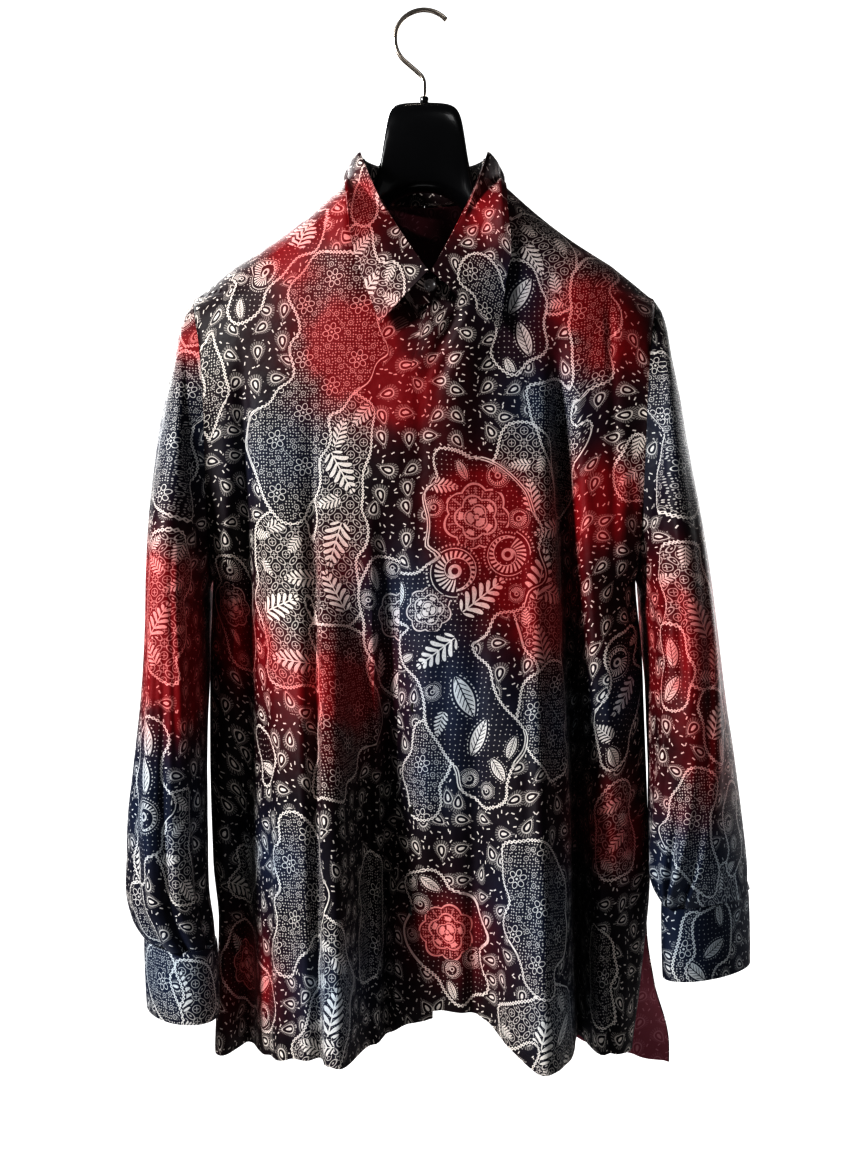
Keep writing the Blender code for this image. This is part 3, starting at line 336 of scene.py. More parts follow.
# The print. An island is a rounded shape through stations of x, z and radius in millimetres, placed
# as the shirt hangs. What no island covers is the seed ground.
ISLANDS = {
    "front_right": (
        ("dots", (-78, -262, 28), (-71, -308, 28), (-99, -350, 18),
         (-117, -387, 25), (-113, -425, 17)),
        ("dots", (-180, -292, 7), (-179, -350, 8), (-181, -383, 5)),
        ("lattice", (-67, -365, 20), (-69, -408, 16), (-74, -458, 16), (-76, -516, 20)),
        ("bouquet", (-164, -493, 12), (-163, -526, 18), (-155, -559, 13)),
        ("lattice", (-118, -470, 22), (-123, -518, 18), (-109, -566, 20)),
        ("dots", (-68, -562, 22), (-61, -612, 26), (-76, -661, 18)),
        ("bouquet", (-30, -513, 24), (-20, -560, 28)),
        ("bouquet", (-134, -642, 11), (-129, -661, 8)),
        ("dots", (-103, -714, 17), (-96, -757, 22), (-109, -803, 15)),
        ("bouquet", (-154, -832, 25), (-134, -857, 18)),
        ("lattice", (-78, -790, 15), (-71, -840, 23), (-86, -890, 20)),
        ("lattice", (-144, -732, 10), (-153, -765, 13)),
        ("bouquet", (-103, -202, 20), (-134, -235, 18), (-156, -267, 10)),
        ("dots", (-43, -749, 12), (-48, -815, 17)),
    ),
    "front_left": (
        ("bouquet", (22, -406, 13), (44, -448, 33), (66, -490, 25),
         (24, -518, 28), (1, -518, 24)),
        ("bouquet", (5, -549, 22), (32, -599, 22), (50, -641, 22), (57, -674, 12)),
        ("lattice", (80, -390, 15), (93, -433, 18), (103, -483, 20),
         (102, -533, 21), (103, -566, 13)),
        ("dots", (107, -348, 17), (118, -391, 18), (115, -430, 13)),
        ("dots", (145, -235, 12), (140, -283, 15), (140, -326, 10)),
        ("lattice", (103, -208, 18), (113, -258, 15)),
        ("bouquet", (80, -257, 15), (80, -297, 18)),
        ("dots", (103, -598, 22), (107, -639, 17)),
        ("dots", (6, -640, 17), (-2, -680, 14)),
        ("dots", (90, -737, 22), (97, -782, 24), (93, -817, 13)),
        ("bouquet", (7, -762, 15), (20, -795, 26), (32, -833, 17)),
        ("lattice", (74, -860, 15), (113, -852, 18), (110, -890, 25)),
        ("lattice", (180, -383, 8), (177, -416, 12)),
        ("bouquet", (167, -557, 12), (172, -599, 17), (167, -642, 10)),
        ("lattice", (162, -689, 12), (165, -729, 17)),
        ("dots", (147, -811, 12), (150, -857, 13)),
        ("lattice", (40, -200, 15), (64, -213, 15)),
    ),
    "sleeve_right": (
        ("dots", (-203, -320, 12), (-207, -370, 16), (-212, -424, 16)),
        ("bouquet", (-202, -274, 11), (-198, -292, 7)),
        ("lattice", (-214, -482, 16), (-219, -534, 19), (-217, -568, 12)),
        ("bouquet", (-231, -637, 16), (-229, -689, 18), (-236, -732, 12)),
        ("lattice", (-202, -689, 11), (-203, -750, 14)),
        ("dots", (-236, -771, 12), (-228, -788, 9)),
    ),
    "sleeve_left": (
        ("dots", (205, -320, 11), (214, -372, 14), (219, -430, 16)),
        ("lattice", (217, -482, 14), (228, -534, 19), (236, -572, 14)),
        ("bouquet", (242, -606, 14), (245, -634, 12)),
        ("bouquet", (207, -551, 9), (205, -594, 11)),
        ("dots", (224, -673, 14), (219, -710, 16), (229, -743, 14)),
        ("bouquet", (260, -681, 11), (266, -732, 12)),
        ("lattice", (257, -762, 12), (238, -766, 9)),
    ),
    "cuff_right": (
        ("dots", (-222, -828, 18), (-214, -850, 14)),
        ("lattice", (-190, -826, 12), (-186, -852, 14)),
    ),
    "cuff_left": (
        ("bouquet", (250, -800, 18), (240, -824, 12)),
        ("dots", (226, -792, 8), (224, -826, 9)),
    ),
    "collar_leaf_right": (
        ("lattice", (-46, -262, 22), (-56, -222, 13)),
        ("dots", (-50, -160, 10), (-50, -190, 8)),
    ),
    "collar_leaf_left": (
        ("dots", (50, -250, 14), (60, -280, 14)),
    ),
}
# A motif lies in an island: its kind, x, z, half its length, and its turn in degrees
MOTIFS = {
    "front_left": (
        ("rose", 44, -447, 29, 20), ("curl", 70, -478, 24, 250), ("curl", 26, -492, 26, 100),
        ("sprig", 50, -512, 22, 40), ("rose", 4, -524, 20, 60), ("bud", 32, -408, 10, 120),
        ("rose", 20, -795, 25, 0), ("sprig", 90, -428, 14, 100), ("sprig", 98, -494, 22, 80),
        ("sprig", 110, -512, 16, 340), ("sprig", 98, -552, 17, 110), ("bud", 34, -596, 20, 300),
        ("bud", 46, -630, 17, 70), ("sprig", 10, -560, 20, 220), ("bud", 80, -262, 18, 60),
        ("bud", 84, -298, 16, 110), ("bud", 113, -865, 16, 40), ("sprig", 96, -868, 20, 80),
    ),
    "front_right": (
        ("sprig", -70, -376, 13, 70), ("sprig", -68, -410, 20, 300), ("sprig", -74, -470, 20, 250),
        ("sprig", -74, -508, 18, 110), ("rose", -163, -520, 18, 10), ("sprig", -119, -520, 19, 20),
        ("sprig", -110, -566, 17, 170), ("rose", -20, -530, 22, 200), ("rose", -153, -838, 22, 30),
        ("sprig", -72, -846, 21, 80), ("sprig", -102, -206, 17, 60), ("curl", -134, -240, 17, 130),
    ),
    "sleeve_right": (
        ("sprig", -218, -532, 17, 60), ("bud", -230, -660, 17, 100), ("curl", -230, -694, 18, 80),
    ),
    "sleeve_left": (
        ("sprig", 228, -530, 18, 110), ("sprig", 243, -616, 16, 70), ("bud", 206, -560, 13, 90),
        ("bud", 206, -590, 13, 60),
    ),
    "cuff_right": (
        ("sprig", -200, -838, 17, 90),
    ),
    "cuff_left": (
        ("bud", 246, -812, 14, 30),
    ),
    "collar_leaf_right": (
        ("sprig", -46, -256, 15, 110),
    ),
    "collar_leaf_left": (
        ("sprig", 52, -236, 12, 70),
    ),
}
KINDS = {"rose": 1, "curl": 2, "sprig": 3, "bud": 4}
FILLERS = ("bud", "curl", "sprig", "curl", "bud")
# The dye: soft patches of red and blue over black, each x, z, radius and strength
DYES = {
    ("body", "red"): (
        (-65, -304, 52, 1), (-11, -343, 40, 0.8), (48, -447, 40, 1.5), (94, -523, 45, 1.1),
        (-71, -591, 55, 0.9), (-164, -549, 37, 1), (-109, -217, 37, 0.8), (146, -280, 50, 1.1),
        (152, -433, 36, 1.2), (165, -707, 43, 0.9), (20, -802, 38, 0.9), (-153, -840, 38, 0.9),
        (-65, -483, 30, 0.5), (-51, -184, 33, 0.9), (40, -190, 35, 0.9),
    ),
    ("body", "blue"): (
        (103, -350, 35, 0.9), (-121, -393, 38, 0.7), (-21, -516, 37, 0.9), (19, -591, 43, 1),
        (110, -619, 33, 0.8), (97, -765, 47, 0.8), (-74, -832, 42, 0.8), (-126, -732, 38, 0.7),
        (177, -599, 25, 1), (80, -258, 30, 0.7), (118, -857, 33, 0.7), (14, -666, 30, 0.8),
    ),
    ("sleeve", "red"): (
        (-223, -525, 60, 1), (-193, -594, 44, 0.9), (233, -551, 70, 1), (231, -672, 40, 0.6),
        (-193, -301, 26, 0.8),
    ),
    ("sleeve", "blue"): (
        (-207, -380, 60, 0.6), (-233, -682, 60, 0.9), (217, -379, 56, 0.6), (229, -740, 50, 1),
        (-219, -827, 44, 1), (243, -806, 53, 1),
    ),
}


def smooth(value):
    """Ease from 0 to 1."""
    value = min(max(value, 0.0), 1.0)
    return value * value * (3 - 2 * value)


def along(rows, key, at):
    """Read the columns of a table at a place, easing from row to row."""
    step = 1 if getattr(rows[-1], key) > getattr(rows[0], key) else -1
    place = min(max(at * step, getattr(rows[0], key) * step), getattr(rows[-1], key) * step)
    low = 0
    while low < len(rows) - 2 and getattr(rows[low + 1], key) * step < place:
        low += 1
    span = (getattr(rows[low + 1], key) - getattr(rows[low], key)) * step
    part = (place - getattr(rows[low], key) * step) / span
    near = [rows[min(max(low + i, 0), len(rows) - 1)] for i in (-1, 0, 1, 2)]
    return [catmull(*values, part) for values in zip(*near)]


def catmull(a, b, c, d, part):
    """A smooth value between b and c that never runs past either."""
    slope_b = (c - a) / 2 if (b - a) * (c - b) > 0 else 0.0
    slope_c = (d - b) / 2 if (c - b) * (d - c) > 0 else 0.0
    square = part * part
    cube = square * part
    return (
        (2 * cube - 3 * square + 1) * b
        + (cube - 2 * square + part) * slope_b
        + (3 * square - 2 * cube) * c
        + (cube - square) * slope_c
    )


def shoulder_z(x):
    """Height of the ridge of the shoulder."""
    run = (abs(x) - NECK_X) / (TIP_X - NECK_X)
    dip = SHOULDER_DIP * math.sin(math.pi * min(run * 1.4, 1.0))
    return NECK_Z + (TIP_Z - NECK_Z) * run - dip


def neck_reach(x):
    """From the neckline's front corner to the shoulder seam, on the side where x is."""
    return NECK_X - NECK_FRONT.x if x > NECK_FRONT.x else NECK_X + NECK_FRONT.x


def front_top(x):
    """Where the front starts: on the neckline near the middle, on the shoulder seam beyond it."""
    if abs(x) >= NECK_X:
        return -GAP / 2, shoulder_z(x)
    part = 1 - abs(x - NECK_FRONT.x) / neck_reach(x)
    y = NECK_FRONT.y * part**NECK_CURVE
    return min(y, -GAP / 2), NECK_Z + (NECK_FRONT.z - NECK_Z) * part


def back_top(x):
    """Where the back starts: on the back neckline or on the shoulder seam."""
    if abs(x) >= NECK_X:
        return GAP / 2, shoulder_z(x)
    part = math.sqrt(1 - (x / NECK_X) ** 2)
    return max(NECK_BACK_Y * part, GAP / 2), NECK_Z - NECK_BACK_DROP * part


def armhole_y(z):
    """Half of the armhole's opening at a height, front to back."""
    middle = (TIP_Z + UNDERARM_Z) / 2
    reach = (z - middle) / (TIP_Z - middle)
    return ARMHOLE_DEPTH * math.sqrt(max(0.0, 1 - reach * reach))


def arch_drop(x):
    """Height over which the cloth turns down from the shoulder or the neckline."""
    return ARCH_MIDDLE + (ARCH_TIP - ARCH_MIDDLE) * min(abs(x) / TIP_X, 1.0)


def arch(x, drop):
    """How far the cloth has come forward at a drop below its top."""
    left = 1 - min(max(drop, 0.0) / arch_drop(x), 1.0)
    return math.sqrt(1 - left * left)


def folds_at(folds, x, z):
    """Sum of the folds' depths at a place."""
    total = 0.0
    for fold in folds:
        down = (fold.top_z - z) / (fold.top_z - fold.foot_z)
        if down <= 0:
            continue
        middle = fold.top_x + (fold.foot_x - fold.top_x) * min(down, 1.15)
        side = (x - middle) / (fold.width_right if x > middle else fold.width_left)
        if abs(side) >= 1:
            continue
        grown = smooth(min(down * 3, 1.0)) * fold.depth_top
        grown += (fold.depth_foot - fold.depth_top) * smooth(down)
        total += grown * (0.5 + 0.5 * math.cos(math.pi * side))
    return total


def front_y(x, z, small=0.0):
    """The front's form before it turns to the side seam, with its small folds added."""
    top_y, top_z = front_top(x)
    deep = FRONT_DEPTH - CHEST_ROUND * (x / TIP_X) ** 2
    full = -deep + folds_at(FRONT_FOLDS, x, z) + small
    return top_y + (full - top_y) * arch(x, top_z - z)


def back_y(x, z):
    """The back's form before it turns to the side seam."""
    top_y, top_z = back_top(x)
    deep = BACK_DEPTH - BACK_ROUND * (x / TIP_X) ** 2
    full = deep + folds_at(BACK_FOLDS, x, z) + folds_at(BACK_CREASES, x, z) + ripple(x + 0.37, z)
    return top_y + (full - top_y) * arch(x, top_z - z)


def small_folds(x, z):
    """Depth of the front's small folds and its unevenness."""
    return folds_at(FRONT_CREASES, x, z) + ripple(x, z)


def ripple(x, z):
    """Shallow unevenness, longer down the cloth than across it."""
    slow = math.sin(x * 61 + 1.7 * math.sin(z * 9)) * math.sin(z * 11 + 0.8 + 6 * x)
    quick = math.sin(x * 143 + 2.3 * math.sin(z * 13 + 1)) * math.sin(z * 19 + 2.1 - 9 * x)
    return RIPPLE * (slow + 0.45 * quick)


def side_turn(part):
    """1 over most of a panel, falling to 0 where it reaches the side seam."""
    return math.sqrt(max(0.0, 1 - part**SIDE_POWER))


def row_heights(x, top_z, hem_z):
    """Heights of the rows of a column: the arch, then down to the underarm, then to the hem."""
    heights = []
    drop = arch_drop(x)
    for i in range(ARCH_ROWS):
        heights.append(top_z - drop * (1 - math.cos(math.pi / 2 * i / ARCH_ROWS)))
    chest_top = top_z - drop
    for i in range(CHEST_ROWS):
        part = i / CHEST_ROWS
        part = part + 0.35 * (math.sin(math.pi / 2 * part) - part)
        heights.append(chest_top + (UNDERARM_Z - chest_top) * part)
    for i in range(SKIRT_ROWS + 1):
        heights.append(UNDERARM_Z + (hem_z - UNDERARM_Z) * i / SKIRT_ROWS)
    return heights


def seam_edge(seams, z, front):
    """x and y of a panel's outer edge, on the armhole above and on the side seam below."""
    row = Seam(*along(seams, "z", z))
    x = row.front_x if front else row.back_x
    y = row.front_y if front else row.back_y
    if z > UNDERARM_Z:
        y += -armhole_y(z) if front else armhole_y(z)
    return x, y + (-GAP / 2 if front else GAP / 2)


def fly_x(z):
    """x of the fly's edge."""
    return Edge(*along(FLY_EDGE, "z", z)).x


def front_rows(side, seams, over):
    """Grid of one front, from its middle edge to its side, top to hem."""
    columns = []
    hem_side = side * Seam(*along(seams, "z", FRONT_HEM[0].z)).front_x
    hem_fly = fly_x(FRONT_HEM[HEM_AT_FLY].z)
    for top_x in front_columns(side, over):
        inner_top = NECK_FRONT.x + (0 if over else UNDERLAP_TOP)
        part = (top_x - inner_top) / (side * TIP_X - inner_top)
        hem_z = Hem(*along(FRONT_HEM, "x", hem_fly + (hem_side - hem_fly) * part)).z
        _, top_z = front_top(top_x)
        column = []
        for z in row_heights(top_x, top_z, hem_z):
            edge_x, edge_y = seam_edge(seams, z, True)
            lap = UNDERLAP_TOP + (UNDERLAP - UNDERLAP_TOP) * smooth((NECK_FRONT.z - z) / UNDERLAP)
            inner = fly_x(z) + (0 if over else lap)
            x = inner + (side * edge_x - inner) * part
            y = edge_y + (front_y(x, z, small_folds(x, z)) - edge_y) * side_turn(part)
            y += fly_step(x, z, over)
            column.append(Vector((x, y, z)))
        columns.append(column)
    return turn_grid(columns)


def fly_step(x, z, over):
    """How far a front lies off the common form near the fly: the top one lies forward."""
    grown = smooth((NECK_FRONT.z - z) / FLY_GROW)
    near = STAND_STEP * lap_part(x)
    if not over:
        return near * (1 - grown)
    fade = 1 - smooth((x - fly_x(z) - UNDERLAP) / FLY_FADE)
    return -near - (LAYER - near) * fade * grown


def lap_part(x):
    """0 round the neck, rising to 1 where the two ends of the stand lap."""
    reach = neck_reach(x)
    return smooth((0.7 * reach - abs(x - NECK_FRONT.x)) / (0.3 * reach))


def back_rows():
    """Grid of the back, from the wearer's right to the left, top to hem."""
    columns = []
    half = back_columns()
    for top_x in [-x for x in half[:0:-1]] + half:
        part = top_x / TIP_X
        side = 1 if part > 0 else -1
        seams = SEAM_LEFT if part > 0 else SEAM_RIGHT
        hem_x = part * Seam(*along(seams, "z", BACK_HEM[0].z)).back_x
        hem_z = Hem(*along(BACK_HEM, "x", hem_x)).z
        _, top_z = back_top(top_x)
        column = []
        for z in row_heights(part * TIP_X, top_z, hem_z):
            edge_x, edge_y = seam_edge(seams, z, False)
            x = abs(part) * edge_x * side
            y = edge_y + (back_y(x, z) - edge_y) * side_turn(abs(part))
            column.append(Vector((x, y, z)))
        columns.append(column)
    return turn_grid(columns)


def steps(start, end, count):
    """Even steps from start to end, both of them in."""
    return [start + (end - start) * i / count for i in range(count + 1)]


def front_columns(side, over):
    """x of a front's columns along its top: one meets the stand at each of the stand's columns."""
    neck = steps(NECK_FRONT.x, side * NECK_X, NECK_STEPS)
    shoulder = steps(side * NECK_X, side * TIP_X, SHOULDER_STEPS)[1:]
    return ([] if over else [NECK_FRONT.x + UNDERLAP_TOP]) + neck + shoulder


def back_columns():
    """x of the back's columns from its middle to its left side, along its top."""
    neck = [NECK_X * math.sin(math.pi / 2 * i / BACK_NECK_STEPS) for i in range(BACK_NECK_STEPS)]
    return neck + steps(NECK_X, TIP_X, BACK_SHOULDER_STEPS)


def turn_grid(columns):
    """Columns of points to rows of points."""
    return [list(row) for row in zip(*columns)]


def grid_normals(rows):
    """A unit normal at each point of a grid, from its neighbours."""
    normals = []
    last = len(rows[0]) - 1
    for i, row in enumerate(rows):
        above, below = rows[max(i - 1, 0)], rows[min(i + 1, len(rows) - 1)]
        line = []
        for j in range(len(row)):
            across = row[min(j + 1, last)] - row[max(j - 1, 0)]
            line.append(across.cross(below[j] - above[j]).normalized())
        normals.append(line)
    return normals


def flipped(normals, facing):
    """The normals, turned so that most of them face a direction."""
    total = sum((n.dot(facing) for line in normals for n in line), 0.0)
    return normals if total > 0 else [[-n for n in line] for line in normals]


def armhole_normal(point):
    """Direction square to the armhole's edge, in the armhole's own plane."""
    middle = (TIP_Z + UNDERARM_Z) / 2
    tall = ((TIP_Z - UNDERARM_Z) / 2) ** 2
    return Vector((0, point.y / ARMHOLE_DEPTH**2, (point.z - middle) / tall)).normalized()


def ridge_normal(x):
    """Direction square to the shoulder's ridge."""
    step = 0.001
    rise = (shoulder_z(abs(x) + step) - shoulder_z(abs(x) - step)) / (2 * step)
    return Vector((-rise * math.copysign(1, x), 0, 1)).normalized()


def dress_normals(rows, normals, columns):
    """Set the normals on the shoulder seam, and down the armhole and the side seam."""
    for j, point in enumerate(rows[0]):
        if abs(point.x) > NECK_X - GAP:
            normals[0][j] = ridge_normal(point.x)
    underarm = ARCH_ROWS + CHEST_ROWS
    for j in columns:
        for i, line in enumerate(rows):
            side = math.copysign(1, line[j].x)
            if i < underarm:
                normals[i][j] = armhole_normal(line[j])
            elif line[j].z > VENT_Z - VENT_EASE:
                normals[i][j] = Vector((side, 0, 0))


def turned_ring(angles, side, row):
    """An ellipse through a ring's outer and inner points, turned about a vertical axis."""
    high, low = row.outer_z, row.inner_z
    centre = Vector((side * (row.outer_x + row.inner_x) / 2, row.y, (high + low) / 2))
    across = Vector((side * (row.outer_x - row.inner_x) / 2, 0, (high - low) / 2))
    deep = Vector((0, -row.depth, 0))
    spin = Matrix.Rotation(math.radians(-side * row.turn), 3, "Z")
    return [centre + spin @ (across * math.cos(a) + deep * math.sin(a)) for a in angles]


def outward(rows, normals):
    """Normals of a tube, turned away from its middle."""
    half = len(rows) // 2
    middle = sum(rows[half], Vector()) / len(rows[0])
    total = sum((p - middle).dot(n) for p, n in zip(rows[half], normals[half]))
    return normals if total > 0 else [[-n for n in row] for row in normals]


def loop_point(t, side, around, front_end, curve_y, curve_z):
    """A point on a line round the neck: t is 0 at the centre back, 0.5 at the side, 1 in front."""
    side_x, side_y, side_z, back_y, back_rise = around
    if t <= 0.5:
        turn = math.pi * t
        y = side_y + (back_y - side_y) * math.cos(turn)
        return Vector((side * side_x * math.sin(turn), y, side_z + back_rise * math.cos(turn)))
    part = (t - 0.5) * 2
    x = side * side_x * (1 - part) + front_end.x * part
    y = side_y + (front_end.y - side_y) * part**curve_y
    return Vector((x, y, side_z + (front_end.z - side_z) * part**curve_z))


def fold_point(t, side):
    """On the fold along the collar's top."""
    around = (FOLD_X, FOLD_Y, FOLD_Z, FOLD_BACK_Y, FOLD_BACK_RISE)
    return loop_point(t, side, around, FOLD_FRONT, FOLD_CURVE, FOLD_FALL)


def neck_point(t, side):
    """On the neckline."""
    around = (NECK_X, 0.0, NECK_Z, NECK_BACK_Y, -NECK_BACK_DROP)
    return loop_point(t, side, around, NECK_FRONT, NECK_CURVE, 1.0)


def leaf_edge(t, side, table):
    """On the outer edge of the collar's leaf."""
    row = Leaf(*along(table, "t", t))
    if t <= 0.5:
        turn = math.pi * t
        return Vector((side * row.x * math.sin(turn), LEAF_BACK * math.cos(turn), row.z))
    x = side * row.x
    return lifted(Vector((x, 0, row.z)), row.off)


def lifted(point, off):
    """The point, brought forward where it would be nearer to the front than off."""
    top_y, top_z = front_top(point.x)
    over = front_y(point.x, point.z) if point.z < top_z else top_y
    over += fly_step(point.x, point.z, point.x > 0)
    return Vector((point.x, min(point.y, over - off), point.z))


class Sheet:
    """A grid of points of one piece, and where each lies on the flat cloth."""

    def __init__(self, name, rows, normals, anchor, tube=False, upright=False):
        self.name = name
        self.rows = np.array([[tuple(p) for p in row] for row in rows])
        self.normals = np.array([[tuple(n) for n in row] for row in normals])
        self.flat = self.spread(anchor, tube, upright or tube)

    def spread(self, anchor, tube, upright):
        """Distances over the cloth: across from one line down it, and down from one row."""
        row_at, column_at = anchor
        along = self.rows[:, :, :2] if upright else self.rows
        across = np.linalg.norm(np.diff(along, axis=1), axis=2)
        u = np.concatenate([np.zeros((len(self.rows), 1)), np.cumsum(across, axis=1)], axis=1)
        line = self.front_line() if tube else np.full(len(self.rows), float(column_at))
        columns = np.arange(u.shape[1])
        u -= np.array([np.interp(at, columns, row) for at, row in zip(line, u)])[:, None]
        beside = self.rows[row_at, min(column_at + 1, u.shape[1] - 1), 0]
        start = self.rows[row_at, column_at]
        sign = np.sign(beside - start[0]) or 1
        u = u * sign + start[0]

        down = np.linalg.norm(np.diff(self.rows, axis=0), axis=2)
        down = np.sqrt(np.maximum(down**2 - np.diff(u, axis=0) ** 2, 0))
        v = np.concatenate([np.zeros((1, down.shape[1])), np.cumsum(down, axis=0)], axis=0)
        v -= v[row_at : row_at + 1, :]
        level = self.rows[row_at, :, 2] if upright else start[2]
        flat = np.stack([u, level - v], axis=2)
        if tube:
            self.spread_cap(flat, sign)
        return flat

    def spread_cap(self, flat, sign):
        """On a sleeve, carry the flat cloth up from the foot of the cap to the armhole."""
        foot = len(flat) // CAP_SHARE
        way = np.gradient(self.rows[foot], axis=0) * sign
        for i in range(foot - 1, -1, -1):
            normal = self.normals[i] + self.normals[i + 1]
            across = np.stack([-normal[:, 1], normal[:, 0], np.zeros(len(normal))], axis=1)
            across /= np.maximum(np.linalg.norm(across, axis=1), 1e-6)[:, None]
            across *= np.sign((across * way).sum(axis=1))[:, None]
            up = np.cross(normal, across)
            up *= (np.sign(up[:, 2]) / np.maximum(np.linalg.norm(up, axis=1), 1e-6))[:, None]
            move = self.rows[i] - self.rows[i + 1]
            flat[i, :, 0] = flat[i + 1, :, 0] + (move * across).sum(axis=1)
            flat[i, :, 1] = flat[i + 1, :, 1] + (move * up).sum(axis=1)

    def front_line(self):
        """On a tube, the column of each row that faces the front."""
        middle = self.rows[:, :-1].mean(axis=1)
        off = self.rows - middle[:, None]
        turn = np.unwrap(np.arctan2(off[:, :, 0], -off[:, :, 1]), axis=1)
        columns = np.arange(turn.shape[1])
        line = np.zeros(len(turn))
        for i, row in enumerate(turn):
            rising = row[-1] > row[0]
            values, places = (row, columns) if rising else (row[::-1], columns[::-1])
            line[i] = np.interp(0.0, values, places)
        return line

    def lay(self, x, z, front=True):
        """The place on the flat cloth of a point that hangs at x and z."""
        gap = (self.rows[:, :, 0] - x) ** 2 + (self.rows[:, :, 2] - z) ** 2
        away = self.normals[:, :, 1] > 0.0
        if away.any() and not away.all():
            gap = gap + np.where(away == front, 1.0, 0.0)
        at = np.unravel_index(np.argmin(gap), gap.shape)
        return self.flat[at] + np.array([x - self.rows[at][0], z - self.rows[at][2]])


def near_chain(places, chain):
    """Distance from a rounded chain of stations, and how far along it each place is."""
    best = np.full(len(places), 1e9)
    run = np.zeros(len(places))
    start = 0.0
    for k in range(len(chain) - 1):
        a, b = np.array(chain[k]), np.array(chain[k + 1])
        way = b[:2] - a[:2]
        long = max(np.linalg.norm(way), 1e-6)
        way = way / long
        off = places - a[:2]
        t = np.clip(off @ way, 0, long)
        rest = off - t[:, None] * way
        gap = np.linalg.norm(rest, axis=1)
        radius = a[2] + (b[2] - a[2]) * t / long
        d = gap - radius
        turn = np.arctan2(np.abs(rest @ np.array([-way[1], way[0]])), np.abs(rest @ way) + 1e-9)
        ends = ((t <= 0) & (k == 0)) | ((t >= long) & (k == len(chain) - 2))
        extra = np.where(ends, (np.pi / 2 - turn) * radius, 0.0)
        place = np.where(t <= 0, start - extra, start + t + extra)
        closer = d < best
        run = np.where(closer, place, run)
        blend = np.clip(0.5 + 0.5 * (best - d) / ISLAND_BLEND, 0, 1)
        eased = best * (1 - blend) + d * blend - ISLAND_BLEND * blend * (1 - blend)
        best = np.where(best > 1e8, d, eased)
        start += long
    return best, run


def wobble(places):
    """A slow wander of the islands' edges."""
    u, v = places[:, 0], places[:, 1]
    slow = np.sin(u * 82 + 1.3 * np.sin(v * 61)) * np.sin(v * 74 + 0.7)
    return ISLAND_WANDER * (slow + 0.35 * np.sin(u * 151 + v * 134))


def print_fields(sheet, sources):
    """Distance and run for each kind of island, and the dye, at every point of a sheet."""
    places = sheet.flat.reshape(-1, 2)
    shift = wobble(places)
    edges = {}
    for kind in GROUNDS:
        edge = np.full(len(places), FAR)
        run = np.zeros(len(places))
        for piece, mirror, front in sources:
            for ground, *stations in ISLANDS.get(piece, ()):
                if ground != kind:
                    continue
                chain = []
                for x, z, radius in stations:
                    place = sheet.lay(x / 1000 * mirror, z / 1000, front)
                    chain.append((*place, radius / 1000 * ISLAND_SPREAD))
                d, s = near_chain(places, chain)
                run = np.where(d < edge, s, run)
                edge = np.minimum(edge, d)
        edges[kind] = evened(sheet, edge + shift)
        edges[kind + "_run"] = run
    first, mirror, _ = sources[0]
    x = sheet.rows[:, :, 0].ravel() * mirror
    z = sheet.rows[:, :, 2].ravel()
    group = "sleeve" if first.startswith(("sleeve", "cuff")) else "body"
    dye = {"red": np.full(len(places), RED_OVERALL), "blue": np.full(len(places), BLUE_OVERALL)}
    for colour in dye:
        for patch_x, patch_z, radius, strength in DYES[group, colour]:
            off = (x - patch_x / 1000) ** 2 + (z - patch_z / 1000) ** 2
            dye[colour] += strength * np.exp(-off / (radius / 1000) ** 2 * 0.9)
    return edges, dye


def evened(sheet, edge):
    """A distance that grows at an even rate, so that the beaded lines keep their width."""
    field = edge.reshape(sheet.rows.shape[:2])
    rate = np.zeros(field.shape)
    for axis in (0, 1):
        step = np.linalg.norm(np.gradient(sheet.flat, axis=axis), axis=2)
        rate += (np.gradient(field, axis=axis) / np.maximum(step, 0.0002)) ** 2
    return edge / np.clip(np.sqrt(rate), 0.45, 1.8).ravel()


def motif_places(sheet, sources):
    """The motifs of a sheet that are given one by one, in the flat cloth."""
    spots = []
    for piece, mirror, front in sources:
        for kind, x, z, size, turn in MOTIFS.get(piece, ()):
            u, v = sheet.lay(x / 1000 * mirror, z / 1000, front)
            turn = turn if mirror > 0 else 180 - turn
            spots.append((u, v, size / 1000, math.radians(turn), KINDS[kind]))
    return spots


def fill_motifs(sheet, edges, spots):
    """Put buds, curls and sprigs where a bouquet or a lattice has room left for them."""
    places = sheet.flat.reshape(-1, 2)
    low, high = places.min(axis=0), places.max(axis=0)
    turn = count = 0
    for u in np.arange(low[0], high[0], FILL_PITCH):
        for v in np.arange(low[1], high[1], FILL_PITCH):
            count += 1
            turn = (turn + FILL_TURN) % 360
            at = int(np.argmin((places[:, 0] - u) ** 2 + (places[:, 1] - v) ** 2))
            bouquet, lattice = edges["bouquet"][at], edges["lattice"][at]
            inside = -bouquet if bouquet < 0 else -lattice * 0.75 if edges["dots"][at] > 0 else 0
            size = min(max(inside * 0.95, 0), FILL_LARGEST)
            if size < FILL_SMALLEST:
                continue
            if any(math.hypot(u - s[0], v - s[1]) < (size + s[2]) * FILL_APART for s in spots):
                continue
            kind = FILLERS[count % len(FILLERS)] if bouquet < 0 else "sprig"
            spots.append((u, v, size, math.radians(turn), KINDS[kind]))
    return spots


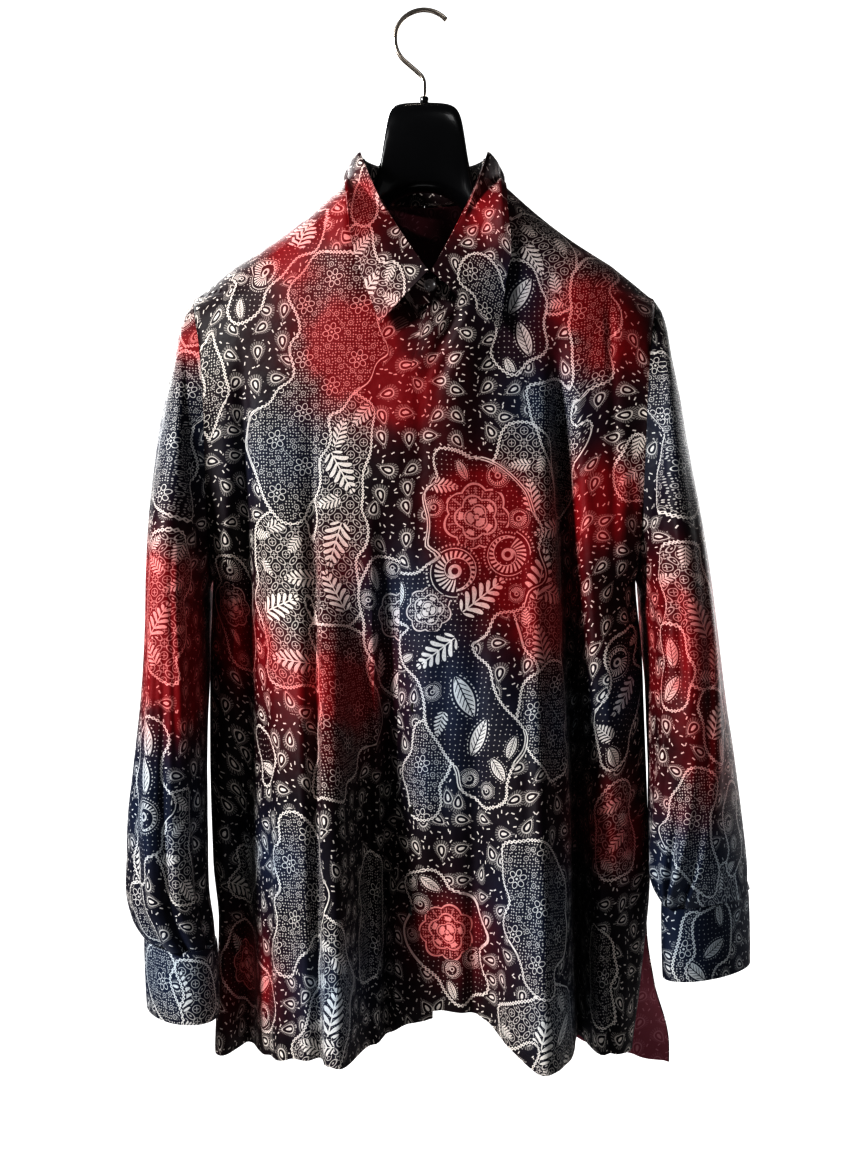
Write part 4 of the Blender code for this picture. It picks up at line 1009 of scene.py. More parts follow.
def shell(sheet, material, wrong_side, edges, dye, spots, thick=None):
    """A closed thin wall on a sheet, with its print's fields at the corners of its faces."""
    off = sheet.normals * (thick or WALL) / 2
    outer = (sheet.rows + off).reshape(-1, 3)
    inner = (sheet.rows - off).reshape(-1, 3)
    base = len(outer)
    grid = np.arange(base).reshape(sheet.rows.shape[:2])
    a, b = grid[:-1, :-1].ravel(), grid[:-1, 1:].ravel()
    c, d = grid[1:, 1:].ravel(), grid[1:, :-1].ravel()
    right = np.stack([a, b, c, d], axis=1)
    wrong = np.stack([d, c, b, a], axis=1) + base
    loop = np.concatenate([grid[0, :], grid[1:, -1], grid[-1, -2::-1], grid[-2:0:-1, 0]])
    after = np.roll(loop, -1)
    rim = np.stack([after, loop, loop + base, after + base], axis=1)
    faces = np.concatenate([right, wrong, rim])
    points = np.concatenate([outer, inner])
    first = points[faces[0]]
    facing = np.cross(first[1] - first[0], first[2] - first[0]) @ sheet.normals[0, 0]
    if facing < 0:
        faces = faces[:, ::-1]
    mesh = bpy.data.meshes.new(sheet.name + "_cloth")
    mesh.from_pydata(points.tolist(), [], faces.tolist())
    corners = faces.ravel() % base
    flat = sheet.flat.reshape(-1, 2)
    put(mesh, "print_place", *flat[corners].T)
    put(mesh, "island_edge", *(edges[kind][corners] for kind in GROUNDS))
    put(mesh, "island_run", *(edges[kind + "_run"][corners] for kind in GROUNDS))
    put(mesh, "dye", dye["red"][corners], dye["blue"][corners])
    put(mesh, "motif", *motif_corners(flat, faces % base, spots).T)
    put(mesh, "hem", hem_run(sheet)[corners])
    mesh.materials.append(material)
    mesh.materials.append(wrong_side)
    slots = np.zeros(len(faces), np.int32)
    slots[len(right) : len(right) + len(wrong)] = 1
    mesh.polygons.foreach_set("material_index", slots)
    mesh.shade_smooth()
    mesh.set_sharp_from_angle(angle=SHARP)
    item = bpy.data.objects.new(mesh.name, mesh)
    bpy.context.scene.collection.objects.link(item)
    return item


def put(mesh, name, *columns):
    """Store up to three numbers at each corner of a mesh's faces."""
    layer = mesh.attributes.new(name, "FLOAT_VECTOR", "CORNER")
    values = np.zeros((len(layer.data), 3), np.float32)
    values[:, : len(columns)] = np.column_stack(columns)
    layer.data.foreach_set("vector", values.ravel())


def motif_corners(flat, faces, spots):
    """Place in the nearest motif, in units of its size, and its kind, at each corner."""
    middle = flat[faces].mean(axis=1)
    best = np.full(len(faces), MOTIF_REACH)
    result = np.zeros((len(faces), 4, 3))
    for u, v, size, turn, kind in spots:
        near = np.linalg.norm(middle - (u, v), axis=1) / size
        mine = near < best
        if not mine.any():
            continue
        best = np.where(mine, near, best)
        off = (flat[faces[mine]] - (u, v)) / size
        along = off @ np.array([math.cos(turn), math.sin(turn)])
        side = off @ np.array([-math.sin(turn), math.cos(turn)])
        result[mine] = np.stack([along, side, np.full(along.shape, kind)], axis=2)
    return result.reshape(-1, 3)


def hem_run(sheet):
    """Distance over the cloth to the foot of a sheet."""
    down = np.linalg.norm(np.diff(sheet.rows, axis=0), axis=2)
    left = np.cumsum(down[::-1], axis=0)[::-1]
    return np.concatenate([left, np.zeros((1, down.shape[1]))], axis=0).ravel()


def ring_at(table, place):
    """A sleeve's ring at a place counted in rows of its table."""
    low = min(int(place), len(table) - 2)
    rows = [table[min(max(low + i, 0), len(table) - 1)] for i in (-1, 0, 1, 2)]
    return Ring(*[catmull(*values, place - low) for values in zip(*rows)])


def sleeve_sheet(name, side, seams, table, wrinkles):
    """A sleeve's grid: its columns start and end under the arm."""
    heights = row_heights(TIP_X, TIP_Z, UNDERARM_Z - 1)[: ARCH_ROWS + CHEST_ROWS + 1]
    middle = (TIP_Z + UNDERARM_Z) / 2
    tall = (TIP_Z - UNDERARM_Z) / 2
    first = []
    for way in (-1, 1):
        for z in heights[::-1] if way < 0 else heights[1:]:
            low = max(0.0, (middle - z) / (middle - UNDERARM_Z))
            x = Seam(*along(seams, "z", z)).front_x + (GAP + UNDERARM_EASE * low**6)
            first.append(Vector((side * x, way * armhole_y(z), z)))
    angles = [math.atan2(-p.y / ARMHOLE_DEPTH, (p.z - middle) / tall) for p in first]
    angles[0], angles[-1] = math.pi, -math.pi
    rows = [first]
    for i in range(SLEEVE_ROWS + 1):
        place = (len(table) - 1) * i / SLEEVE_ROWS
        row = ring_at(table, place)
        line = turned_ring(angles, side, row)
        centre = sum(line[:-1], Vector()) / (len(line) - 1)
        for j, angle in enumerate(angles):
            away = line[j] - centre
            away.z = 0
            line[j] += away.normalized() * wrinkle_at(wrinkles, math.degrees(angle) % 360, place)
        rows.append(line)
    normals = outward(rows, grid_normals(rows))
    for line in normals:
        joined = (line[0] + line[-1]).normalized()
        line[0], line[-1] = joined, joined
    normals[0] = [armhole_normal(p) for p in first]
    normals[-1] = [Vector((n.x, n.y, 0)).normalized() for n in normals[-1]]
    return Sheet(name, rows, normals, (SLEEVE_ROWS // 3, len(angles) // 4), tube=True)


def wrinkle_at(wrinkles, turn, place):
    """Sum of a sleeve's folds at an angle round it and a place down it."""
    total = RIPPLE * 0.6 * math.sin(turn * 0.09 + place * 0.9) * math.sin(place * 1.3 + turn * 0.02)
    for fold in wrinkles:
        down = (place - fold.top) / (fold.foot - fold.top)
        if not 0 < down < 1.08:
            continue
        fade = smooth((1.08 - down) * 4) if fold.foot < 13 else 1.0
        middle = fold.turn_top + (fold.turn_foot - fold.turn_top) * down
        side = ((turn - middle + 180) % 360 - 180) / fold.width
        if abs(side) < 1:
            total -= fold.depth * fade * smooth(down * 1.6) * (0.5 + 0.5 * math.cos(math.pi * side))
    return total


def cuff_sheet(name, side, last, table):
    """A cuff's grid: a band that goes once round and laps its own start."""
    z = table.foot_z
    foot = Ring(table.outer_x, z, table.inner_x, z, table.depth, table.y, table.turn)
    top = last._replace(outer_z=last.outer_z - GAP, inner_z=last.inner_z - GAP)
    turns = steps(0, 1, CUFF_COLUMNS)
    angles = [math.radians(table.lap_at + (360 + CUFF_LAP) * part) for part in turns]
    top_ring = turned_ring(angles, side, top)
    foot_ring = turned_ring(angles, side, foot)
    high, low = (Vector((side * (r.outer_x + r.inner_x) / 2, r.y, 0)) for r in (top, foot))
    rows = []
    for part in steps(0, 1, CUFF_ROWS):
        centre = high.lerp(low, part)
        swell = CUFF_SWELL * math.sin(math.pi * part) ** 0.5
        line = []
        for j, turn in enumerate(turns):
            point = top_ring[j].lerp(foot_ring[j], part)
            away = point - centre
            away.z = 0
            lapped = CUFF_STEP * smooth((turn - 0.45) / 0.5)
            line.append(point + away.normalized() * (lapped + swell))
        rows.append(line)
    normals = outward(rows, grid_normals(rows))
    normals = [[Vector((n.x, n.y, 0)).normalized() for n in line] for line in normals]
    return Sheet(name, rows, normals, (CUFF_ROWS // 2, CUFF_COLUMNS // 2))


def stand_sheet():
    """The collar stand's grid."""
    columns = []
    half = steps(0, 0.5, BACK_NECK_STEPS) + steps(0.5, 1, NECK_STEPS)[1:]
    for t in [-t for t in half[:0:-1]] + half:
        side = 1 if t > 0 else -1
        foot, top = neck_point(abs(t), side), fold_point(abs(t), side)
        step = -side * STAND_STEP * lap_part(foot.x) if abs(t) > 0.5 else 0.0
        foot += Vector((0, step, STAND_LIFT))
        top += Vector((0, step, -STAND_SHORT))
        columns.append((foot, top))
    ends = []
    for laps, step in ((STAND_UNDER, STAND_STEP), (STAND_OVER, -STAND_STEP)):
        end = []
        for place in steps(0, len(laps) - 1, LAP_STEPS)[1:]:
            low = min(int(place), len(laps) - 2)
            part = place - low
            lap = Lap(*[a + (b - a) * part for a, b in zip(laps[low], laps[low + 1])])
            foot = NECK_FRONT + Vector((lap.x, step, STAND_LIFT + lap.foot_rise))
            top = FOLD_FRONT + Vector((lap.x, step, -STAND_SHORT - lap.top_drop))
            end.append((foot, top))
        ends.append(end)
    columns = ends[0][::-1] + columns + ends[1]
    rows = [[foot.lerp(top, part) for foot, top in columns] for part in steps(0, 1, STAND_ROWS)]
    return Sheet("collar_stand", rows, grid_normals(rows), (STAND_ROWS // 2, len(columns) // 2))


def leaf_sheet(name, side, table):
    """The grid of half of the collar's leaf."""
    columns = []
    for j in range(LEAF_COLUMNS + 1):
        t = j / LEAF_COLUMNS
        fold = fold_point(t, side)
        turn = math.pi * t
        away = Vector((side * math.sin(turn), math.cos(turn), 0))
        ahead = max(2 * t - 1, 0)
        parted = Vector((side * LEAF_PART * ahead, 0, LEAF_RISE))
        fold += away * (LEAF_OUT + LEAF_AHEAD * ahead) + parted
        edge = leaf_edge(t, side, table)
        off = Leaf(*along(table, "t", t)).off
        column = []
        for i in range(LEAF_ROWS + 1):
            part = i / LEAF_ROWS
            point = fold.lerp(edge, part) + away * LEAF_CROWN * math.sin(math.pi * part)
            if j == 0:
                point.x = side * GAP / 2
            column.append(lifted(point, off) if t > 0.5 and i else point)
        columns.append(column)
    rows = turn_grid(columns)
    normals = flipped(grid_normals(rows), Vector((side, 0, 0.5)))
    for line in normals:
        line[0] = Vector((0, line[0].y, line[0].z)).normalized()
    return Sheet(name, rows, normals, (LEAF_ROWS // 2, LEAF_COLUMNS * 3 // 4))


class Wire:
    """A number that runs through a material's nodes, and can be used in sums."""

    def __init__(self, paint, socket):
        self.paint = paint
        self.socket = socket

    def __add__(self, other):
        return self.paint.sum("ADD", self, other)

    __radd__ = __add__

    def __sub__(self, other):
        return self.paint.sum("SUBTRACT", self, other)

    def __rsub__(self, other):
        return self.paint.sum("SUBTRACT", other, self)

    def __mul__(self, other):
        return self.paint.sum("MULTIPLY", self, other)

    __rmul__ = __mul__

    def __truediv__(self, other):
        return self.paint.sum("DIVIDE", self, other)

    def __rtruediv__(self, other):
        return self.paint.sum("DIVIDE", other, self)

    def __lt__(self, other):
        return self.paint.sum("LESS_THAN", self, other)

    def __gt__(self, other):
        return self.paint.sum("GREATER_THAN", self, other)

    def __abs__(self):
        return self.paint.sum("ABSOLUTE", self)


class Paint:
    """A material and the means to add nodes to it."""

    def __init__(self, name):
        self.material = bpy.data.materials.new(name)
        self.material.use_nodes = True
        self.tree = self.material.node_tree
        self.surface = self.tree.nodes["Principled BSDF"]

    def node(self, kind, settings=None, inputs=None, output=0):
        """Add a node: its settings first, then the values or wires of its sockets."""
        item = self.tree.nodes.new("ShaderNode" + kind)
        for key, value in (settings or {}).items():
            setattr(item, key, value)
        for key, value in (inputs or {}).items():
            self.join(item.inputs[key], value)
        return Wire(self, item.outputs[output])

    def also(self, wire, output):
        """Another output of a wire's node."""
        return Wire(self, wire.socket.node.outputs[output])

    def join(self, socket, value):
        """Give a socket a wire or a value."""
        if isinstance(value, Wire):
            self.tree.links.new(value.socket, socket)
        else:
            socket.default_value = value

    def sum(self, operation, *values):
        """A Math node."""
        return self.node("Math", {"operation": operation}, dict(enumerate(values)))

    def vector(self, operation, *values):
        """A Vector Math node."""
        return self.node("VectorMath", {"operation": operation}, dict(enumerate(values)))

    def mix(self, share, first, second):
        """Blend two colours."""
        return self.node("Mix", {"data_type": "RGBA"}, {0: share, 6: first, 7: second}, 2)

    def blend(self, share, first, second):
        """Blend two numbers."""
        return self.node("Mix", {"data_type": "FLOAT"}, {0: share, 2: first, 3: second}, 0)

    def field(self, name):
        """The three numbers of an attribute."""
        return self.parts(self.node("Attribute", {"attribute_name": name}, output="Vector"))

    def parts(self, vector):
        """The x, y and z of a vector."""
        x = self.node("SeparateXYZ", inputs={0: vector})
        return x, self.also(x, 1), self.also(x, 2)

    def noise(self, place, scale, detail, twist=0.0, dimensions="2D"):
        """Clouds over the flat cloth, or through a piece."""
        inputs = {"Vector": place, "Scale": scale, "Detail": detail, "Distortion": twist}
        return self.node("TexNoise", {"noise_dimensions": dimensions}, inputs)

    def grain(self, scale, detail, twist=0.0):
        """Clouds through a piece, by its own place."""
        where = self.node("TexCoord", output="Object")
        return self.noise(where, scale, detail, twist, "3D")

    def cloth_place(self):
        """x and y on the flat cloth in millimetres, and both as a vector."""
        x, y = (value * 1000 for value in self.field("print_place")[:2])
        return x, y, self.node("CombineXYZ", inputs={0: x, 1: y, 2: 0.0})

    def cells(self, place, pitch, scatter, turned=False):
        """Place in the nearest cell of a scattered grid, in the cloth's millimetres."""
        scaled = self.vector("SCALE", place)
        self.join(scaled.socket.node.inputs["Scale"], 1 / pitch)
        found = self.node(
            "TexVoronoi",
            {"voronoi_dimensions": "2D"},
            {"Vector": scaled, "Scale": 1.0, "Randomness": scatter},
            "Position",
        )
        off = self.vector("SUBTRACT", scaled, found)
        if turned:
            angle = self.parts(self.also(found, "Color"))[0] * math.tau
            inputs = {"Vector": off, "Angle": angle}
            off = self.node("VectorRotate", {"rotation_type": "Z_AXIS"}, inputs)
        x, y, _ = self.parts(off)
        return x * pitch, y * pitch

    def length(self, x, y):
        """Length of a pair of numbers."""
        return self.sum("SQRT", x * x + y * y)

    def near(self, value, at, reach):
        """1 where a value is within reach of another."""
        return self.sum("COMPARE", value, at, reach)

    def either(self, *values):
        """The highest of some numbers."""
        return reduce(lambda a, b: self.sum("MAXIMUM", a, b), values)

    def both(self, *values):
        """The lowest of some numbers."""
        return reduce(lambda a, b: self.sum("MINIMUM", a, b), values)

    def turn(self, x, y):
        """Angle of a pair of numbers, from x towards y."""
        return self.sum("ARCTAN2", y, x)

    def wave(self, value):
        """Sine."""
        return self.sum("SINE", value)

    def step(self, value, pitch):
        """Place in a repeat, from -0.5 to 0.5 of it, given back in the value's own unit."""
        return (self.sum("FRACT", value * (1 / pitch)) - 0.5) * pitch

    def finish(self, colour, roughness, **constants):
        """Set the surface's sockets."""
        self.join(self.surface.inputs["Base Color"], colour)
        self.join(self.surface.inputs["Roughness"], roughness)
        for key, value in constants.items():
            self.surface.inputs[key.replace("_", " ")].default_value = value

    def bump(self, height, strength, distance):
        """Raise the surface by a height."""
        inputs = {"Strength": strength, "Distance": distance, "Height": height}
        self.join(self.surface.inputs["Normal"], self.node("Bump", inputs=inputs))


def seed_ground(paint, place):
    """Seeds with a hairy fringe, at all angles, between grains of rice."""
    x, y = paint.cells(place, SEED_PITCH, 0.62, turned=True)
    lean = 1 - y * 0.075
    across = x / (lean * 4.0)
    long = y * (1 / 6.6)
    ring = paint.length(across, long)
    hairs = paint.wave(paint.turn(x, y) * 25) > -0.25
    core = paint.length(x / (lean * 1.25), (y + 0.6) * (1 / 2.9)) < 1
    rim = paint.near(ring, 0.86, 0.10) * 0.78
    fringe = paint.near(ring, 1.22, 0.22) * hairs * 0.30
    seed = paint.either(core, rim, fringe)
    gx, gy = paint.cells(place, GRAIN_PITCH, 0.85, turned=True)
    grain = paint.both(abs(gx) < 0.52, abs(gy) < 1.45, ring > 1.62)
    return paint.either(seed, grain)


def dotted_ground(paint, place, x, y):
    """Fine dots, small rings and six-petalled outline flowers in a half drop."""
    dx, dy = paint.cells(place, 2.5, 0.45)
    dots = (paint.length(dx, dy) < 0.62) * 0.72
    rx, ry = paint.cells(place, 9.6, 0.55)
    round_off = paint.length(rx, ry)
    rosette = paint.either(paint.near(round_off, 1.9, 0.38), round_off < 0.6) * 0.62
    dots = dots * (round_off > 2.9)
    column = paint.sum("FLOOR", x * (1 / FLOWER_ACROSS))
    drop = paint.sum("FRACT", column * 0.5) * FLOWER_DOWN
    fx = paint.step(x, FLOWER_ACROSS)
    fy = paint.step(y + drop, FLOWER_DOWN)
    out = paint.length(fx, fy)
    petals = 6 / math.tau
    sector = (paint.sum("FRACT", paint.turn(fx, fy) * petals + 0.25) - 0.5) * (1 / petals)
    px = out * paint.sum("COSINE", sector) - 5.2
    py = out * paint.wave(sector)
    petal = paint.length(px * (1 / 2.9), py * (1 / 2.3))
    flower = paint.either(paint.near(petal, 0.88, 0.13) * 0.9, out < 1.0)
    clear = out > 9.0
    gap = paint.sum("FRACT", y * (1 / 57.0)) < 0.42
    bar = paint.both(abs(paint.step(x + y, 31.0)) < 0.32, gap)
    field = paint.either(dots, rosette, bar * 0.6) * clear
    return paint.either(field, flower)


def lattice_ground(paint, x, y):
    """Interlocking ovals round crosses and small rings."""
    pitch = LATTICE_PITCH
    half = paint.sum("FLOOR", x * (1 / pitch)) + paint.sum("FLOOR", y * (1 / pitch))
    odd = (paint.sum("FRACT", half * 0.5) > 0.25) * 2 - 1
    cx = paint.step(x, pitch)
    cy = paint.step(y, pitch)
    along = (cx + cy * odd) * 0.7071
    side = (cx - cy * odd) * 0.7071
    oval = paint.length(along * (1 / 4.9), side * (1 / 2.4))
    ovals = paint.either(paint.near(oval, 0.86, 0.14), oval < 0.26)
    kx = paint.step(x + pitch / 2, pitch)
    ky = paint.step(y + pitch / 2, pitch)
    kx, ky = abs(kx), abs(ky)
    cross = paint.both(paint.both(kx, ky) < 0.36, paint.either(kx, ky) < 2.1)
    ring = paint.near(paint.length(kx, ky), 3.2, 0.36)
    return paint.either(ovals, paint.either(cross, ring) * (oval > 1.08)) * 0.66


def bouquet_ground(paint, place):
    """Sparse dots."""
    dx, dy = paint.cells(place, 4.3, 0.35)
    return (paint.length(dx, dy) < 0.50) * 0.75


def motif_ink(paint, x, y, kind, place):
    """The motifs' ink, the ground that they clear, and the rose's flush."""
    out = paint.length(x, y)
    angle = paint.turn(x, y)
    fx, fy = paint.cells(place, 2.3, 0.25)
    fine = paint.length(fx, fy) < 0.55
    # rose
    scallop = 0.84 + abs(paint.wave(angle * 3.5)) * 0.16
    inner_scallop = 0.80 + abs(paint.wave(angle * 2.5 + 0.8)) * 0.22
    big = out / (1.02 * scallop)
    small = out / (0.66 * inner_scallop)
    lobes = abs(paint.wave(angle * 1.5 + 0.3))
    heart = out / (0.36 * (0.72 + lobes * 0.30))
    petals = paint.both(paint.near(out, 0.47, 0.07), paint.wave(angle * 5 + 0.5) > 0.35)
    veins = paint.both(big < 0.86, small > 1.06, paint.wave(angle * 21) > 0.72) * 0.5
    middle = paint.both(heart < 0.80, lobes > 0.38, heart > 0.30)
    outlines = (paint.near(big, 0.95, 0.035), paint.near(small, 0.95, 0.05))
    lines = paint.either(*outlines, paint.near(heart, 0.98, 0.07))
    freckles = paint.both(fine, big < 0.88) * 0.7
    rose = paint.either(lines * 0.85, petals, middle, freckles, veins, out < 0.07)
    rose_on = big < 1.0
    # curl
    bend = paint.turn(x + 0.02, y)
    part = bend * (1 / math.tau) + 0.5
    half = part * 0.30 + 0.03
    off = out - 0.62 + part * 0.10
    inside = abs(off) < half
    teeth = paint.wave(bend * 24 + off * 9) > -0.1
    comb = paint.both(abs(off) < half * 0.78, teeth, off < half * 0.45)
    edge = paint.near(abs(off), half, 0.035)
    beads = paint.both(paint.near(off, half + 0.11, 0.032), paint.wave(bend * 44) > 0)
    eye = paint.both(out < 0.22, out > 0.11)
    curl = paint.either(comb, edge * 0.9, beads * 0.8, eye * 0.8)
    curl_on = paint.either(inside, out < 0.26, paint.near(off, half + 0.11, 0.06))
    # sprig
    taper = paint.sum("SQRT", paint.either(1 - x * x, 0.0))
    width = taper * (0.52 - x * 0.24)
    side = abs(y)
    rib = abs(paint.sum("FRACT", (x - side * 1.15 + side * side * 0.9) * 3.1) - 0.5)
    reach = side / paint.either(width, 0.01)
    blade = paint.sum("SQRT", paint.either(reach * (1 - reach), 0.0)) * 0.66
    leaflet = paint.both(rib < blade, side > 0.02)
    sprig = paint.either(leaflet, paint.both(side < 0.03, x < 0.7, x > -0.98))
    sprig_on = paint.either(paint.both(rib < blade + 0.16, reach < 1.1), side < 0.09)
    # bud
    body = taper * taper * 0.36
    solid = paint.both(side < body, side > 0.025)
    vein = paint.both(paint.wave((x - side * 1.2) * 26) > 0.75, side < body * 0.8)
    dotted = paint.both(paint.near(side, body + 0.13, 0.03), paint.wave(x * 34) > 0, out < 1.0)
    bud = paint.either(solid * (1 - vein), dotted * 0.85)
    bud_on = side < body + 0.19
    drawn = {"rose": (rose, rose_on), "curl": (curl, curl_on), "sprig": (sprig, sprig_on)}
    drawn["bud"] = (bud, bud_on)
    ink = on = 0.0
    for name, (lines, cleared) in drawn.items():
        chosen = paint.near(kind, KINDS[name], 0.3)
        ink = lines * chosen + ink
        on = cleared * chosen + on
    return ink, paint.both(on, out < 1.06), paint.near(kind, KINDS["rose"], 0.3) * rose_on


def bead_line(paint, edge, run):
    """A chain of pale beads along the edge of an island."""
    place = paint.step(run, BEAD_PITCH)
    hole = paint.length(place, edge) < 0.50
    narrow = abs(edge) < 1.75 - abs(place) * 0.85
    return paint.both(narrow, 1 - hole)


def batik(settings):
    """The printed face of the cloth."""
    paint = Paint("batik")
    x, y, place = paint.cloth_place()
    dots_edge, lattice_edge, bouquet_edge = [e * 1000 for e in paint.field("island_edge")]
    dots_run, lattice_run, bouquet_run = [e * 1000 for e in paint.field("island_run")]
    red, blue, _ = paint.field("dye")
    mx, my, kind = paint.field("motif")
    in_lattice = lattice_edge < 0
    in_bouquet = bouquet_edge < 0
    ink = paint.blend(in_lattice, seed_ground(paint, place), lattice_ground(paint, x, y))
    ink = paint.blend(dots_edge < 0, ink, dotted_ground(paint, place, x, y))
    ink = paint.blend(in_bouquet, ink, bouquet_ground(paint, place))
    drawn, cleared, flush = motif_ink(paint, mx, my, kind, place)
    allowed = paint.either(in_bouquet, in_lattice * (dots_edge > 0))
    ink = paint.blend(cleared * allowed, ink, drawn)
    # edges of the islands, the nearest on top
    show_dots = bouquet_edge > 0
    show_lattice = paint.both(show_dots, dots_edge > 0)
    margin = abs(bouquet_edge) < BEAD_REACH
    beads = bead_line(paint, bouquet_edge, bouquet_run)
    for edge, run, shown in (
        (dots_edge, dots_run, show_dots),
        (lattice_edge, lattice_run, show_lattice),
    ):
        margin = paint.either(margin, (abs(edge) < BEAD_REACH) * shown)
        beads = paint.either(beads, bead_line(paint, edge, run) * shown)
    ink = paint.blend(margin, ink, beads)
    # the wax's wear and the dye's clouding
    cloud = paint.noise(place, 0.02, 3.0)
    ink = ink * (0.62 + paint.noise(place, 0.7, 1.0) * 0.62)
    red = paint.both(red * red * (cloud * 2.6 - 0.35) + flush * red * 0.35, 1.2)
    red = paint.either(red, 0.0)
    blue = paint.both(blue * (0.45 + cloud * 1.1), 1.0) * paint.either(1 - red, 0.0)
    ground = paint.mix(red, opaque(settings.ground), opaque(settings.red))
    ground = paint.mix(blue, ground, opaque(settings.blue))
    wax = paint.mix(paint.both(red * 1.15, 0.9), opaque(settings.wax), opaque(settings.wax_red))
    wax = paint.mix(blue * 0.8, wax, opaque(settings.wax_blue))
    # weave, slack and the stitches near the foot
    foot = paint.field("hem")[0] * 1000
    seam = paint.near(foot, STITCH_RISE, 0.5)
    weave = paint.wave(x * (math.tau / WEAVE_PITCH)) * paint.wave(y * (math.tau / WEAVE_PITCH))
    slack = paint.noise(place, 0.045, 3.0)
    height = weave * 0.05 + slack * 2.2 - seam * 0.5 + ink * 0.03
    paint.finish(
        paint.mix(ink, ground, wax),
        settings.roughness - 0.10 + cloud * 0.2,
        Sheen_Weight=settings.sheen,
        Sheen_Roughness=0.4,
        Sheen_Tint=(0.9, 0.85, 0.9, 1),
        Specular_IOR_Level=settings.shine,
    )
    paint.bump(height, 0.55, 0.001)
    return paint.material


def wrong_face(settings):
    """The wrong side: the dye has struck through, paler and pinker."""
    paint = Paint("batik_wrong_side")
    _, _, place = paint.cloth_place()
    blue = paint.field("dye")[1]
    in_dots = paint.field("island_edge")[0] < 0
    ghost = paint.blend(in_dots, seed_ground(paint, place), bouquet_ground(paint, place)) * 0.5
    ground = paint.mix(blue * 0.7, (0.20, 0.030, 0.050, 1), (0.06, 0.05, 0.09, 1))
    paint.finish(paint.mix(ghost, ground, (0.55, 0.24, 0.28, 1)), 0.75, Sheen_Weight=settings.sheen)
    return paint.material


def button_face():
    """Polished dark shell-like plastic."""
    paint = Paint("button_plastic")
    swirl = paint.grain(260.0, 3.0, 1.2)
    colour = paint.mix(swirl, (0.012, 0.010, 0.012, 1), (0.060, 0.052, 0.050, 1))
    paint.finish(colour, 0.18 + swirl * 0.16, Coat_Weight=0.4)
    return paint.material


def hanger_face(settings):
    """Glossy black moulded plastic with a faint sink and fine scratches."""
    paint = Paint("hanger_plastic")
    slow = paint.grain(28.0, 2.0)
    roughness = settings.plastic_roughness + slow * 0.16
    paint.finish(opaque(settings.plastic), roughness, Coat_Weight=0.25)
    paint.bump(slow * 1.2 + paint.grain(900.0, 2.0) * 0.03, 0.35, 0.0012)
    return paint.material


def wire_face(settings):
    """Drawn steel wire with a faint warm stain."""
    paint = Paint("hook_steel")
    grain = paint.grain(1500.0, 2.0)
    colour = paint.mix(paint.grain(90.0, 3.0), opaque(settings.steel), (0.48, 0.40, 0.33, 1))
    paint.finish(colour, 0.20 + grain * 0.14, Metallic=1.0)
    paint.bump(grain, 0.10, 0.0004)
    return paint.material


def floor_face(settings):
    """A plain pale floor."""
    paint = Paint("floor_paint")
    colour = paint.mix(paint.grain(6.0, 2.0), opaque(settings.floor), (0.84, 0.84, 0.84, 1))
    paint.finish(colour, 0.7)
    return paint.material


def opaque(colour):
    """A colour with its alpha."""
    return (*colour, 1)


class BatikCloth(bpy.types.PropertyGroup):
    """Colours and finish of the cloth."""

    ground: bpy.props.FloatVectorProperty(
        name="Ground", description="Dark ground", subtype="COLOR",
        default=(0.0022, 0.0014, 0.0020),
    )
    red: bpy.props.FloatVectorProperty(
        name="Red", description="Red dye", subtype="COLOR", default=(0.200, 0.0030, 0.007)
    )
    blue: bpy.props.FloatVectorProperty(
        name="Blue", description="Blue dye", subtype="COLOR", default=(0.012, 0.021, 0.048)
    )
    wax: bpy.props.FloatVectorProperty(
        name="Wax", description="Cloth kept pale by wax", subtype="COLOR",
        default=(0.80, 0.74, 0.67),
    )
    wax_red: bpy.props.FloatVectorProperty(
        name="Wax on red", description="The same on red dye", subtype="COLOR",
        default=(0.86, 0.25, 0.24),
    )
    wax_blue: bpy.props.FloatVectorProperty(
        name="Wax on blue", description="The same on blue dye", subtype="COLOR",
        default=(0.52, 0.62, 0.70),
    )
    roughness: bpy.props.FloatProperty(
        name="Roughness", description="How dull the cloth is", min=0, max=1, default=0.52
    )
    sheen: bpy.props.FloatProperty(
        name="Sheen", description="Bloom of the fine nap", min=0, max=1, default=0.04
    )
    shine: bpy.props.FloatProperty(
        name="Shine", description="Strength of its gloss", min=0, max=1, default=0.22
    )


class BatikHanger(bpy.types.PropertyGroup):
    """Finish of the hanger."""

    plastic: bpy.props.FloatVectorProperty(
        name="Plastic", description="Black plastic", subtype="COLOR",
        default=(0.0045, 0.0045, 0.0052),
    )
    plastic_roughness: bpy.props.FloatProperty(
        name="Plastic roughness", description="How dull it is", min=0, max=1, default=0.16
    )
    steel: bpy.props.FloatVectorProperty(
        name="Steel", description="The hook's wire", subtype="COLOR", default=(0.72, 0.66, 0.59)
    )


class BatikStage(bpy.types.PropertyGroup):
    """Floor, light and camera."""

    floor: bpy.props.FloatVectorProperty(
        name="Floor", description="Floor colour", subtype="COLOR", default=(0.88, 0.88, 0.88)
    )
    floor_height: bpy.props.FloatProperty(
        name="Floor height", description="Of the floor, from the hook", unit="LENGTH", default=-1.45
    )
    camera_distance: bpy.props.FloatProperty(
        name="Camera distance", description="From it to the shirt", unit="LENGTH", default=1.25
    )
    camera_height: bpy.props.FloatProperty(
        name="Camera height", description="From the hook", unit="LENGTH", default=-0.496
    )
    view_height: bpy.props.FloatProperty(
        name="View height", description="Seen at the shirt", unit="LENGTH", default=1.0138
    )
    key_power: bpy.props.FloatProperty(
        name="Key light", description="Power of the main light", unit="POWER", default=60.0
    )


def stand_for(piece, node):
    """Put a piece in the place of its CAD node."""
    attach(piece, "root")
    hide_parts(node)


